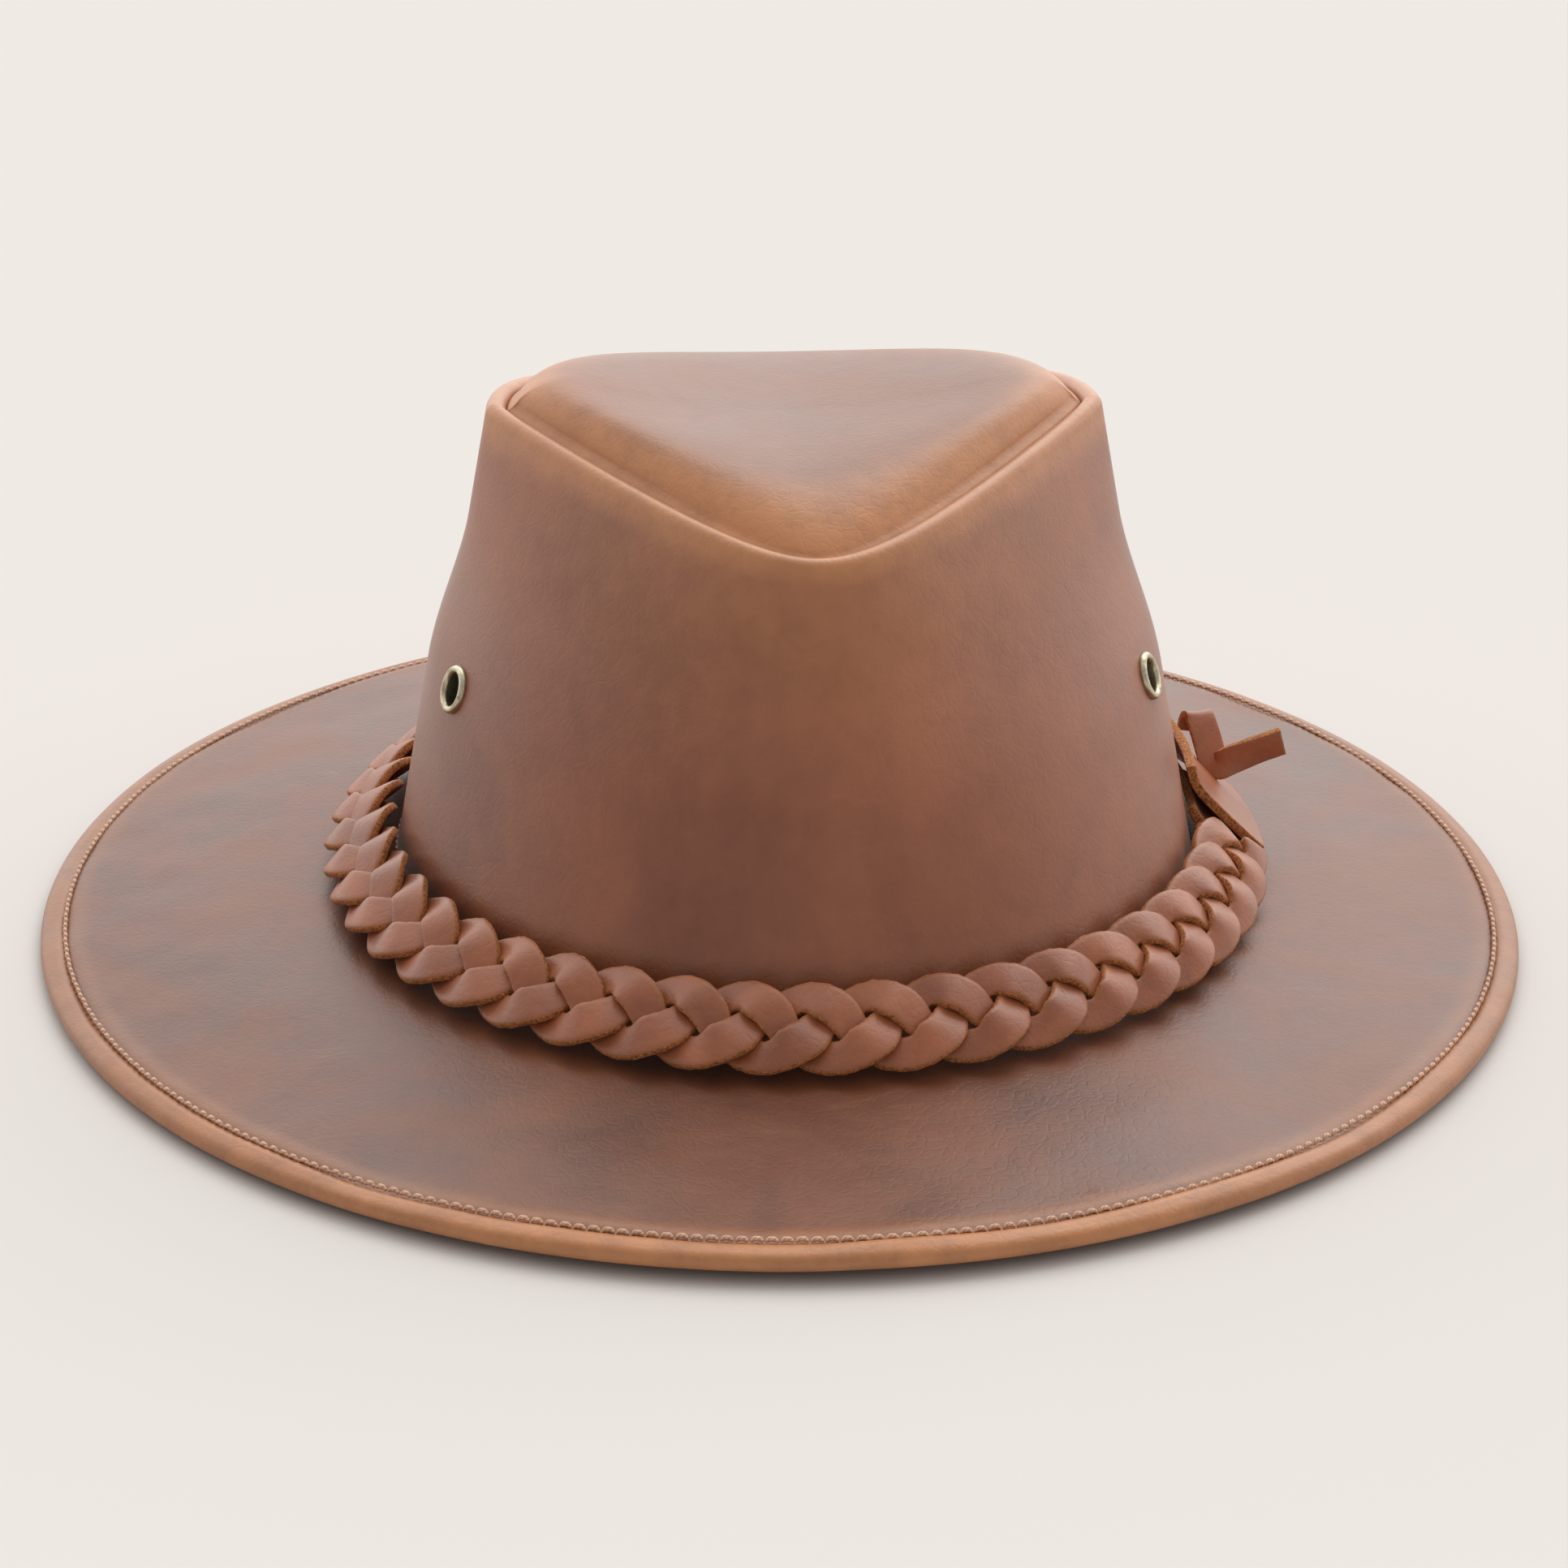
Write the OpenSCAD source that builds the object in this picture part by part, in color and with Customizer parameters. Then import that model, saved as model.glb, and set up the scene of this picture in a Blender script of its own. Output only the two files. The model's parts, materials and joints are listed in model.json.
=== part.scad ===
// Leather outback hat: two-piece crown, wired and hemmed brim, sweatband, four vent
// eyelets, and a loose braided hat band that lifts off over the crown.
// Millimetres. +Z is up, the front of the hat faces -Y, and the wearer's left is +X.
// The origin is the middle of the flat surface that the brim rests on.

/* [Head] */
// Width of the head opening, inside the sweatband
head_w = 169.6; // [155:0.2:185]
// Length of the head opening, inside the sweatband
head_l = 201.2; // [186:0.2:218]

/* [Leather] */
// Thickness of the crown panels
crown_t = 1.4; // [1:0.1:2.4]
// Thickness of the brim and its hem
brim_t = 1.3; // [1:0.1:2]
// Thickness of the sweatband
sweat_t = 1.2; // [0.8:0.1:2]
// Thickness of the hat band's strap, its ends and the thong
strap_t = 2.2; // [1.6:0.1:2.4]

/* [Crown] */
// Height of the tip seam above the brim, at the sides
crown_h_side = 104; // [90:1:120]
// Height of the tip seam above the brim, at the front
crown_h_front = 90; // [78:1:105]
// Height of the tip seam above the brim, at the back
crown_h_back = 86; // [76:1:100]
// Half width of the crown at the tip seam
tip_half_w = 66; // [58:1:74]
// Reach of the tip seam forward of the crown's middle
tip_front = 74; // [64:1:84]
// Reach of the tip seam behind the crown's middle
tip_back = 84; // [72:1:94]
// How far the front of the tip is drawn to a point, 0 for an oval
tip_point = 0.86; // [0:0.02:0.9]
// How far the tip panel swells above its seam
tip_swell = 10; // [4:0.5:12]
// Depth of the shallow dent in the middle of the tip
tip_dent = 2; // [0:0.5:5]
// Sideways set of the crown on the brim, towards the wearer's left
crown_set = 3.5; // [0:0.5:5]
// Outer radius of the roll where the side panel turns in at the tip seam
roll_r = 2.2; // [1.8:0.1:4]
// Depth of the seam allowances inside the tip seam
seam_allowance = 5; // [3:0.5:8]

/* [Brim] */
// Width of the brim from the crown to its edge
brim_w = 73.4; // [55:0.2:90]
// Fall of the brim from the crown to its edge, at the sides
brim_drop_side = 5.8; // [2:0.1:14]
// Fall of the brim from the crown to its edge, at the front
brim_drop_front = 5.2; // [2:0.1:14]
// Fall of the brim from the crown to its edge, at the back
brim_drop_back = 7.5; // [2:0.1:14]
// How much higher the crown's lower edge is at front and back than at the sides
base_rise = 1.4; // [0:0.1:4]
// Diameter of the wire in the brim's hem
wire_d = 1; // [0.8:0.1:1.6]
// Width of the hem turned under the brim
hem_w = 9; // [7.5:0.5:14]
// Distance of the hem's stitching from the brim's edge
stitch_in = 5.4; // [4.6:0.1:7]
// Height of the brim's inner edge turned up inside the crown
collar_h = 9; // [6:0.5:12]

/* [Sweatband] */
// Height of the sweatband
sweat_h = 32; // [24:1:38]

/* [Eyelets] */
// Radius of the hole through an eyelet
eyelet_bore_r = 3.5; // [2:0.1:4]
// Thickness of an eyelet's brass barrel
eyelet_wall = 0.4; // [0.3:0.05:0.6]
// Width of an eyelet's rolled rim, outside its barrel
eyelet_rim = 1.3; // [1:0.1:2]
// Height of the front eyelets above the brim
eyelet_front_h = 50; // [45:1:60]
// Height of the rear eyelets above the brim
eyelet_rear_h = 44; // [42:1:60]
// Angle of the front eyelets, forward of the crown's widest line
eyelet_front_angle = 22; // [16:1:28]
// Angle of the rear eyelets, behind the crown's widest line
eyelet_rear_angle = 15; // [10:1:24]
// Thickness of the washer behind an eyelet
washer_t = 0.5; // [0.4:0.1:0.8]

/* [Stitching] */
// Diameter of the sewing thread
thread_d = 0.5; // [0.4:0.05:0.8]

/* [Hat band] */
// Sideways swing of a strand from the middle of the braid
braid_swing = 6; // [5:0.5:7]
// Width of a strand
strand_w = 5.2; // [4:0.2:5.6]
// Thickness of a strand
strand_t = 1.3; // [1:0.1:1.5]
// Number of times that each strand crosses over and back
braid_turns = 14; // [11:1:17]
// Distance of the middle of the braid from the crown's lower edge
band_out = 7; // [6.6:0.1:9]
// Height of the middle of the braid above the brim
band_up = 7.6; // [7.2:0.1:9]
// Slope of the braid in the corner between the crown and the brim
band_slope = 38; // [30:1:45]
// Width of the narrow thong that ties the band's ends
thong_w = 6.5; // [5:0.5:7]

/* [Hidden] */

// Clearance between sewn layers
gap = 0.12;
// Clearance between the hat band's own pieces
band_gap = 0.3;
// Steps around the hat: every ring uses the same angles, so that layers stay parallel
step = 6;
AROUND = [for (a = [0 : step : 360 - step]) a];
// Angle of the crown's back seam
back = 90;

// Layers of the wall, measured inwards from the crown's outside
collar_out = crown_t + gap;
collar_in = collar_out + brim_t;
sweat_out = collar_in + gap;
sweat_in = sweat_out + sweat_t;
base_a = head_w / 2 + sweat_in;
base_b = head_l / 2 + sweat_in;

// The hem's roll round its wire
wire_r = wire_d / 2;
hem_r = brim_t + wire_r + gap;
// The brim's lowest point is under the wire, and it rests at zero
at_wire = 1 - hem_r / brim_w;
base_z = max(brim_drop_side * at_wire, brim_drop_front * at_wire - base_rise,
             brim_drop_back * at_wire - base_rise) + 2 * hem_r + gap;

// Share of the crown's taper that is even, the rest is a soft shoulder
taper_even = 0.84;
shoulder_start = 0.46;
shoulder_len = 0.32;
// Roundness of the front of the tip, as a share of its half width
apex_round = 0.35;

function mix(a, b, k) = a + (b - a) * k;
function clamp01(k) = min(1, max(0, k));
function smooth(k) = let (c = clamp01(k)) c * c * (3 - 2 * c);
function unit(v) = v / norm(v);
function plan(p) = [p.x, p.y];
// A share of each end by direction: one at the front or back, nothing at the sides
function endness(t) = pow(sin(t), 2);

// ---- The crown's surface -------------------------------------------------------
// Height of the crown's lower edge
function edge_z(t) = base_z + base_rise * endness(t);
// A reach forward that goes from a rounded point to an even side
function pointed(c) = 1 - (sqrt(c * c + apex_round * apex_round) - apex_round)
                          / (sqrt(1 + apex_round * apex_round) - apex_round);
// Share of the crown's reach along Y at angle t, drawn to a point by k at the front
function reach(t, k) = sin(t) < 0
    ? -(1 - k) * abs(sin(t)) - k * pointed(abs(cos(t)))
    : sin(t);
// Height of the tip seam above the crown's lower edge
function seam_h(t) = let (r = reach(t, tip_point)) r < 0
    ? mix(crown_h_side, crown_h_front, pow(-r, 1.2))
    : mix(crown_h_side, crown_h_back, pow(r, 1.8));
// Height of the side panel's upright part: the seam's roll stands on it
function wall_h(t) = seam_h(t) - roll_r;
// How much of its taper the crown has done at share v of its height
function taper(v) = taper_even * v
                    + (1 - taper_even) * smooth((v - shoulder_start) / shoulder_len);
// A point on the crown's outside at angle t and share v of its height
function wall(t, v) =
    let (k = taper(v), half_w = mix(base_a, tip_half_w, k),
         half_l = mix(base_b, sin(t) < 0 ? tip_front : tip_back, k))
    [crown_set + half_w * cos(t), half_l * reach(t, tip_point * v * v),
     edge_z(t) + v * wall_h(t)];
// The level direction out of the crown there
function wall_out(t, v) =
    let (d = wall(t + 0.5, v) - wall(t - 0.5, v)) unit([d.y, -d.x, 0]);
// A point set inwards from the outside by d and up by z
function inset(t, v, d, z = 0) = wall(t, v) - d * wall_out(t, v) + [0, 0, z];
// The same, at height h above the crown's lower edge
function inset_h(t, h, d) = inset(t, h / wall_h(t), d);

// ---- The brim's surface --------------------------------------------------------
function base_out(t) = unit([cos(t) / base_a, sin(t) / base_b, 0]);
function brim_inner(t) = [crown_set + base_a * cos(t), base_b * sin(t), 0];
function brim_outer(t) = [base_a * cos(t), base_b * sin(t), 0] + brim_w * base_out(t);
function brim_len(t) = norm(brim_outer(t) - brim_inner(t));
function brim_drop(t) =
    let (n = base_out(t))
    brim_drop_side * n.x * n.x
    + (n.y < 0 ? brim_drop_front : brim_drop_back) * n.y * n.y;
// A point r out from the crown and z above the brim's upper face
function on_brim(t, r, z = 0) =
    let (k = r / brim_len(t), p = mix(brim_inner(t), brim_outer(t), k))
    [p.x, p.y, edge_z(t) - gap - brim_drop(t) * k + z];

// ---- Solids from paths ---------------------------------------------------------
// Two triangles for each patch between section i and the next, going round m points.
// The patch after point open is left out, where another face closes the solid
function skin(n, m, joined, open = -1) = [
    for (i = [0 : n - (joined ? 1 : 2)], j = [0 : m - 1]) if (j != open)
    let (a = i * m + j, b = i * m + (j + 1) % m,
         c = ((i + 1) % n) * m + (j + 1) % m, d = ((i + 1) % n) * m + j)
    each [[a, b, c], [a, c, d]]];
// Closing face of a sheet's end section, where both sides have m / 2 points
function sheet_cap(first, m, turned) = [
    for (j = [0 : m / 2 - 2])
    let (a = first + j, b = first + j + 1, c = first + m - 2 - j, d = first + m - 1 - j)
    each (turned ? [[a, d, c], [a, c, b]] : [[a, b, c], [a, c, d]])];
function backwards(list) = [for (i = [len(list) - 1 : -1 : 0]) list[i]];
// A sheet's section from its outer side and its inner side, both listed upwards
function sheet_section(outer, inner) = concat(outer, backwards(inner));

module ring_of(sections) {
    m = len(sections[0]);
    polyhedron([for (s = sections) each s], skin(len(sections), m, true), 10);
}

module strip_of(sections) {
    n = len(sections);
    m = len(sections[0]);
    polyhedron([for (s = sections) each s],
               concat(skin(n, m, false), sheet_cap(0, m, true),
                      sheet_cap((n - 1) * m, m, false)), 10);
}

// A four-sided section of half width w and half height h about a point
function bar_section(p, across, up, w, h) =
    [p + w * across - h * up, p + w * across + h * up,
     p - w * across + h * up, p - w * across - h * up];

// A thread laid along a row of points just clear of a surface, given the way out of it
function thread_section(p, out, side) =
    let (r = thread_d / 2) [p + r * side, p + r * out, p - r * side, p - r * out];

// ---- Crown ---------------------------------------------------------------------
// The roll at the tip seam: half a circle that turns in and then hangs down inside
ROLL = [0, 45, 90, 135, 180];
WALL_LEVELS = [0, 0.08, 0.16, 0.32, 0.46, 0.57, 0.68, 0.78, 0.9, 1];
function side_outer(t) = concat(
    [for (v = WALL_LEVELS) wall(t, v)],
    [for (a = ROLL) if (a > 0) inset(t, 1, roll_r * (1 - cos(a)), roll_r * sin(a))],
    [inset(t, 1, 2 * roll_r, -seam_allowance)]);
function side_inner(t) = let (r = roll_r - crown_t) concat(
    [for (v = WALL_LEVELS) inset(t, v, crown_t)],
    [for (a = ROLL) if (a > 0) inset(t, 1, crown_t + r * (1 - cos(a)), r * sin(a))],
    [inset(t, 1, 2 * roll_r - crown_t, -seam_allowance)]);

module eyelet_place(side, angle) {
    t = side > 0 ? angle : 180 - angle;
    v = (angle < 0 ? eyelet_front_h : eyelet_rear_h) / wall_h(t);
    p = wall(t, v);
    n = unit(cross(wall(t + 1, v) - wall(t - 1, v), wall(t, v + 0.01) - wall(t, v - 0.01)));
    translate(p) rotate([0, acos(n.z), atan2(n.y, n.x)]) children();
}

module at_each_eyelet() {
    for (side = [-1, 1], angle = [-eyelet_front_angle, eyelet_rear_angle])
        eyelet_place(side, angle) children();
}

eyelet_r = eyelet_bore_r + eyelet_wall;
eyelet_hole_r = eyelet_r + 0.15;
eyelet_hole_len = 12;

module crown_side() {
    joint = 0.08;
    angles = [for (a = [0 : step : 360])
              back + (a == 0 ? joint : a == 360 ? 360 - joint : a)];
    color("#7a4a33") difference() {
        strip_of([for (t = angles) sheet_section(side_outer(t), side_inner(t))]);
        at_each_eyelet() cylinder(r = eyelet_hole_r, h = eyelet_hole_len, center = true, $fn = 32);
    }
}

// The tip panel: its edge hangs inside the side panel's, then turns over and swells
tip_edge = 2 * roll_r + gap;
tip_turn = 2;
DOME = [1, 0.965, 0.9, 0.78, 0.55, 0.28];
tip_mid_y = (tip_back - tip_front) / 2;
tip_mid_h = (crown_h_side + crown_h_front + crown_h_back) / 3;
// A point of the tip at share k of the way from its middle to its edge
function dome(t, k, d) =
    let (e = inset(t, 1, tip_edge + tip_turn, roll_r), m = [crown_set, tip_mid_y, 0],
         p = mix(m, e, k), level = mix(edge_z(t) + wall_h(t) + roll_r,
                                       base_z + tip_mid_h, 1 - k * k))
    [p.x, p.y, level + tip_swell * (1 - pow(k, 9)) - tip_dent * pow(1 - k * k, 2) - d];
function tip_outer(t) = concat(
    [inset(t, 1, tip_edge, -seam_allowance), inset(t, 1, tip_edge, 0),
     inset(t, 1, tip_edge + tip_turn * 0.3, roll_r * 0.7)],
    [for (k = DOME) dome(t, k, 0)]);
function tip_inner(t) = concat(
    [inset(t, 1, tip_edge + crown_t, -seam_allowance), inset(t, 1, tip_edge + crown_t, 0),
     inset(t, 1, tip_edge + crown_t + tip_turn * 0.2, roll_r * 0.7 - crown_t * 0.7)],
    [for (k = DOME) dome(t, k - 0.004, crown_t)]);

module crown_tip() {
    n = len(AROUND);
    m = len(tip_outer(0));
    // Each section runs up the outside and back down the inside, and all sections
    // share the two points in the tip's middle
    top = n * 2 * m;
    points = concat([for (t = AROUND) each sheet_section(tip_outer(t), tip_inner(t))],
                    [dome(0, 0, 0), dome(0, 0, crown_t)]);
    caps = [for (i = [0 : n - 1])
            let (a = i * 2 * m + m - 1, d = ((i + 1) % n) * 2 * m + m - 1)
            each [[a, top, d], [a + 1, d + 1, top + 1]]];
    color("#7d4d35") polyhedron(points, concat(skin(n, 2 * m, true, m - 1), caps), 10);
}

module crown_tip_stitching() {
    out = tip_edge + crown_t + thread_d / 2 + gap;
    color("#d9b48f") ring_of([for (t = AROUND)
        thread_section(inset(t, 1, out, -seam_allowance / 2), wall_out(t, 1), [0, 0, -1])]);
}

// Leather tape over the back seam, inside the crown above the sweatband
stay_t = 0.9;
stay_span = 6;
stay_foot = sweat_h + 3;
module back_seam_stay() {
    top = 1 - (seam_allowance + 2) / wall_h(back);
    foot = stay_foot / wall_h(back);
    levels = [for (i = [0 : 6]) mix(foot, top, i / 6)];
    d = crown_t + 2 * gap;
    color("#8a6248") strip_of([for (t = [back - stay_span, back, back + stay_span])
        sheet_section([for (v = levels) inset(t, v, d)],
                      [for (v = levels) inset(t, v, d + stay_t)])]);
}

module back_seam_stitching() {
    levels = [for (i = [0 : 8]) mix(0.14, 0.97, i / 8)];
    d = -thread_d / 2 - 0.05;
    for (side = [-1, 1])
        color("#d9b48f") strip_of([for (v = levels)
            let (t = back + side * 2.4, out = wall_out(t, v),
                 along = [-out.y, out.x, 0])
            thread_section(inset(t, v, d), along, -out)]);
}

// ---- Brim ----------------------------------------------------------------------
// The sheet runs from the collar's upper edge, down, out to the edge, round the wire
// and back under itself
HEM = [90, 45, 0, -45, -90];
function brim_upper(t) = let (l = brim_len(t)) concat(
    [inset_h(t, collar_h, collar_out), inset_h(t, -gap, collar_out)],
    [for (k = [0.07, 0.36, 0.68]) on_brim(t, k * l)],
    [for (a = HEM) on_brim(t, l - hem_r + hem_r * cos(a), hem_r * (sin(a) - 1))],
    [for (r = [hem_r + 2, hem_w]) on_brim(t, l - r, -2 * brim_t - gap)]);
function brim_lower(t) = let (l = brim_len(t), r0 = hem_r - brim_t) concat(
    [inset_h(t, collar_h, collar_in), inset_h(t, -gap - brim_t, collar_in)],
    [for (k = [0.07, 0.36, 0.68]) on_brim(t, k * l, -brim_t)],
    [for (a = HEM) on_brim(t, l - hem_r + r0 * cos(a), r0 * sin(a) - hem_r)],
    [for (r = [hem_r + 2, hem_w]) on_brim(t, l - r, -brim_t - gap)]);

module brim() {
    color("#84543c") ring_of([for (t = AROUND)
        sheet_section(brim_lower(t), brim_upper(t))]);
}

module brim_wire() {
    color("#9a9a98") ring_of([for (t = AROUND)
        [for (a = [0 : 60 : 300])
         on_brim(t, brim_len(t) - hem_r + wire_r * cos(a), wire_r * sin(a) - hem_r)]]);
}

module brim_edge_stitching() {
    color("#e3b994") ring_of([for (t = AROUND)
        thread_section(on_brim(t, brim_len(t) - stitch_in, thread_d / 2 + 0.05),
                       [0, 0, 1], base_out(t))]);
}

module crown_brim_stitching() {
    color("#d9b48f") ring_of([for (t = AROUND)
        thread_section(inset_h(t, collar_h / 2, -thread_d / 2 - 0.05),
                       [0, 0, 1], wall_out(t, 0))]);
}

// ---- Sweatband -----------------------------------------------------------------
module sweatband() {
    levels = [-1, sweat_h / 3, sweat_h * 2 / 3, sweat_h];
    color("#a77b57") ring_of([for (t = AROUND)
        sheet_section([for (h = levels) inset_h(t, h, sweat_out)],
                      [for (h = levels) inset_h(t, h, sweat_in)])]);
}

module sweatband_stitching() {
    color("#d9b48f") ring_of([for (t = AROUND)
        thread_section(inset_h(t, collar_h / 2 - 2, sweat_in + thread_d / 2 + gap),
                       [0, 0, 1], wall_out(t, 0))]);
}

// ---- Eyelets -------------------------------------------------------------------
// The barrel goes through the leather and the washer, and its end is set over it
// The wall is hollow where the flat washer sits, so the washer stands off its middle
face_gap = 0.5;
washer_z = -(crown_t + face_gap);
barrel_foot = washer_z - washer_t - 0.7;
rim_h = 1.1;
module eyelet() {
    rim_c = eyelet_bore_r + (eyelet_wall + eyelet_rim) / 2;
    rim_half = (eyelet_wall + eyelet_rim) / 2;
    rim = [for (a = [180 : -15 : 0]) [rim_c + rim_half * cos(a), 0.2 + (rim_h - 0.2) * sin(a)]];
    curl = [for (a = [0 : 15 : 180])
            [eyelet_r + 0.35 + 0.35 * cos(a), barrel_foot + 0.35 - 0.35 * sin(a)]];
    color("#a8926a") rotate_extrude($fn = 48)
        polygon(concat([[eyelet_bore_r, barrel_foot]], rim,
                       [[eyelet_r + eyelet_rim, 0.08], [eyelet_r, 0.08],
                        [eyelet_r, washer_z - washer_t - 0.08],
                        [eyelet_r + 0.7, washer_z - washer_t - 0.08]], curl));
}

module washer() {
    color("#a8926a") translate([0, 0, washer_z - washer_t]) difference() {
        cylinder(r = eyelet_r + 2, h = washer_t, $fn = 48);
        translate([0, 0, -1]) cylinder(r = eyelet_r + 0.1, h = washer_t + 2, $fn = 48);
    }
}

module eyelet_left_front() { eyelet_place(-1, -eyelet_front_angle) eyelet(); }
module eyelet_left_rear() { eyelet_place(-1, eyelet_rear_angle) eyelet(); }
module eyelet_right_front() { eyelet_place(1, -eyelet_front_angle) eyelet(); }
module eyelet_right_rear() { eyelet_place(1, eyelet_rear_angle) eyelet(); }
module washer_left_front() { eyelet_place(-1, -eyelet_front_angle) washer(); }
module washer_left_rear() { eyelet_place(-1, eyelet_rear_angle) washer(); }
module washer_right_front() { eyelet_place(1, -eyelet_front_angle) washer(); }
module washer_right_rear() { eyelet_place(1, eyelet_rear_angle) washer(); }

// ---- Hat band ------------------------------------------------------------------
// A point n out from the crown's lower edge and z above the brim, at angle t
function beside(t, n, z) = brim_inner(t) + n * base_out(t) + [0, 0, edge_z(t) + z];
band_across = [cos(band_slope), -sin(band_slope)];
band_face = [sin(band_slope), cos(band_slope)];
// A point w across the braid and h out of its face
function on_band(t, w, h) =
    let (p = [band_out, band_up] + w * band_across + h * band_face) beside(t, p.x, p.y);
// The braid starts at the inner end and runs round the back of the hat last
braid_start = -336;
braid_end = -9.6;
braid_samples = 12 * braid_turns;
// Height of the weave: two crossing strands clear each other by the band's gap
weave = (strand_t + band_gap) * 1.16;

module strand(number) {
    half_w = strand_w / 2;
    half_t = strand_t / 2;
    color(number == 2 ? "#a5694a" : "#98603f") strip_of([for (i = [0 : braid_samples])
        let (t = mix(braid_start, braid_end, i / braid_samples),
             turn = 360 * braid_turns * i / braid_samples + 120 * number,
             w = braid_swing * sin(turn), h = -weave * sin(2 * turn))
        [on_band(t, w + half_w, h - half_t), on_band(t, w + half_w, h + half_t),
         on_band(t, w - half_w, h + half_t), on_band(t, w - half_w, h - half_t)]]);
}

module braid_strand_1() { strand(1); }
module braid_strand_2() { strand(2); }
module braid_strand_3() { strand(3); }

// Level distance that the leaning wall stands in from the crown's lower edge at height z
function leaned(t, z) = norm(plan(wall(t, z / wall_h(t)) - wall(t, 0)));
// Way in which the band's layers of strap are stacked: out of the crown and up
stack = [0.75, 0.66];
// How many thicknesses of strap there are from the crown to each layer's middle
under = 0.5;
over = 1.5;
tied = 2.5;

// A strap's section through points [out, up], each thick side square to its neighbours
function strap_side(path, d) = [for (i = [0 : len(path) - 1])
    let (a = path[max(0, i - 1)], b = path[min(len(path) - 1, i + 1)], u = unit(b - a))
    path[i] + d * [u.y, -u.x]];
function strap_section(t, layer, flat) =
    let (path = [for (p = flat) let (q = p + layer * strap_t * stack) [q.x - leaned(t, q.y), q.y]])
    sheet_section([for (p = strap_side(path, strap_t / 2)) beside(t, p.x, p.y)],
                  [for (p = strap_side(path, -strap_t / 2)) beside(t, p.x, p.y)]);

// The outer end: the whole width of the strap, up the crown's side and out over the
// inner end, then down to the braid at its rear. Each point is [off the wall, up]
// before its layer is added
OUTER_FRONT = [[12.78, 1.82], [7.42, 7.82], [2.39, 14.02], [0.62, 17.32], [-0.7, 27.82]];
OUTER_REAR = [[11.53, 1.02], [9.05, 3.22], [6.24, 5.82], [3.37, 8.62], [0.66, 11.22]];
outer_front = -8;
outer_rear = 23.4;
module band_outer_end() {
    steps = 8;
    color("#9c6344") strip_of([for (i = [0 : steps])
        let (k = smooth((i / steps - 0.62) / 0.38))
        strap_section(mix(outer_front, outer_rear, i / steps), over,
                      [for (j = [0 : 4]) mix(OUTER_FRONT[j], OUTER_REAR[j], k)])]);
}

INNER_PATH = [[12.07, 1.87], [7.12, 6.37], [2.33, 10.67]];
inner_front = -9.2;
inner_rear = 9;
module band_inner_end() {
    color("#9c6344") strip_of([for (i = [0 : 3])
        strap_section(mix(inner_front, inner_rear, i / 3), under, INNER_PATH)]);
}

// The thong, from the tip of its tail to the end of its loop: [off the wall, along, up]
// from the crown's widest point before its layer is added, and the direction of its width
THONG = [[[23.9, 8, 14.97], [0, 0.35, 0.94]], [[17.09, 7.5, 15.97], [0, 0.35, 0.94]],
         [[11.05, 7.5, 15.77], [0, 0.45, 0.89]], [[6.83, 8.5, 15.17], [0, 0.8, 0.6]],
         [[5.22, 10, 16.17], [0, 0.97, 0.22]], [[4.75, 11, 18.97], [0, 1, 0]],
         [[4.72, 12, 21.97], [0, 1, 0]], [[3.66, 12.4, 23.77], [0, 1, 0]],
         [[2.03, 12.5, 22.57], [0, 1, 0]], [[1.3, 12.5, 19.77], [0, 1, 0]]];
module band_thong() {
    n = len(THONG);
    origin = brim_inner(0) + [0, 0, edge_z(0)];
    lift = tied * strap_t * [stack.x, 0, stack.y];
    points = [for (q = THONG) let (p = q[0] + lift) [p.x - leaned(0, p.z), p.y, p.z]];
    color("#a5694a") strip_of([for (i = [0 : n - 1])
        let (along = unit(points[min(n - 1, i + 1)] - points[max(0, i - 1)]),
             across = unit(THONG[i][1] - (THONG[i][1] * along) * along),
             face = cross(across, along))
        bar_section(origin + points[i], across, face, thong_w / 2, strap_t / 2)]);
}

crown_side();
crown_tip();
crown_tip_stitching();
back_seam_stay();
back_seam_stitching();
brim();
brim_wire();
brim_edge_stitching();
crown_brim_stitching();
sweatband();
sweatband_stitching();
eyelet_left_front();
eyelet_left_rear();
eyelet_right_front();
eyelet_right_rear();
washer_left_front();
washer_left_rear();
washer_right_front();
washer_right_rear();
braid_strand_1();
braid_strand_2();
braid_strand_3();
band_outer_end();
band_inner_end();
band_thong();
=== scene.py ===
"""A brown leather hat with a braided band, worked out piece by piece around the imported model.

Every piece is in metres, in the model's own frame, and stands where the model's piece stands.
The shape functions work in millimetres, and a mesh is made in metres at the very end.
"""
import json
import math

import bpy
import numpy as np
from bpy.props import FloatProperty, FloatVectorProperty, IntProperty, PointerProperty
from mathutils import Matrix, Vector


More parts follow.
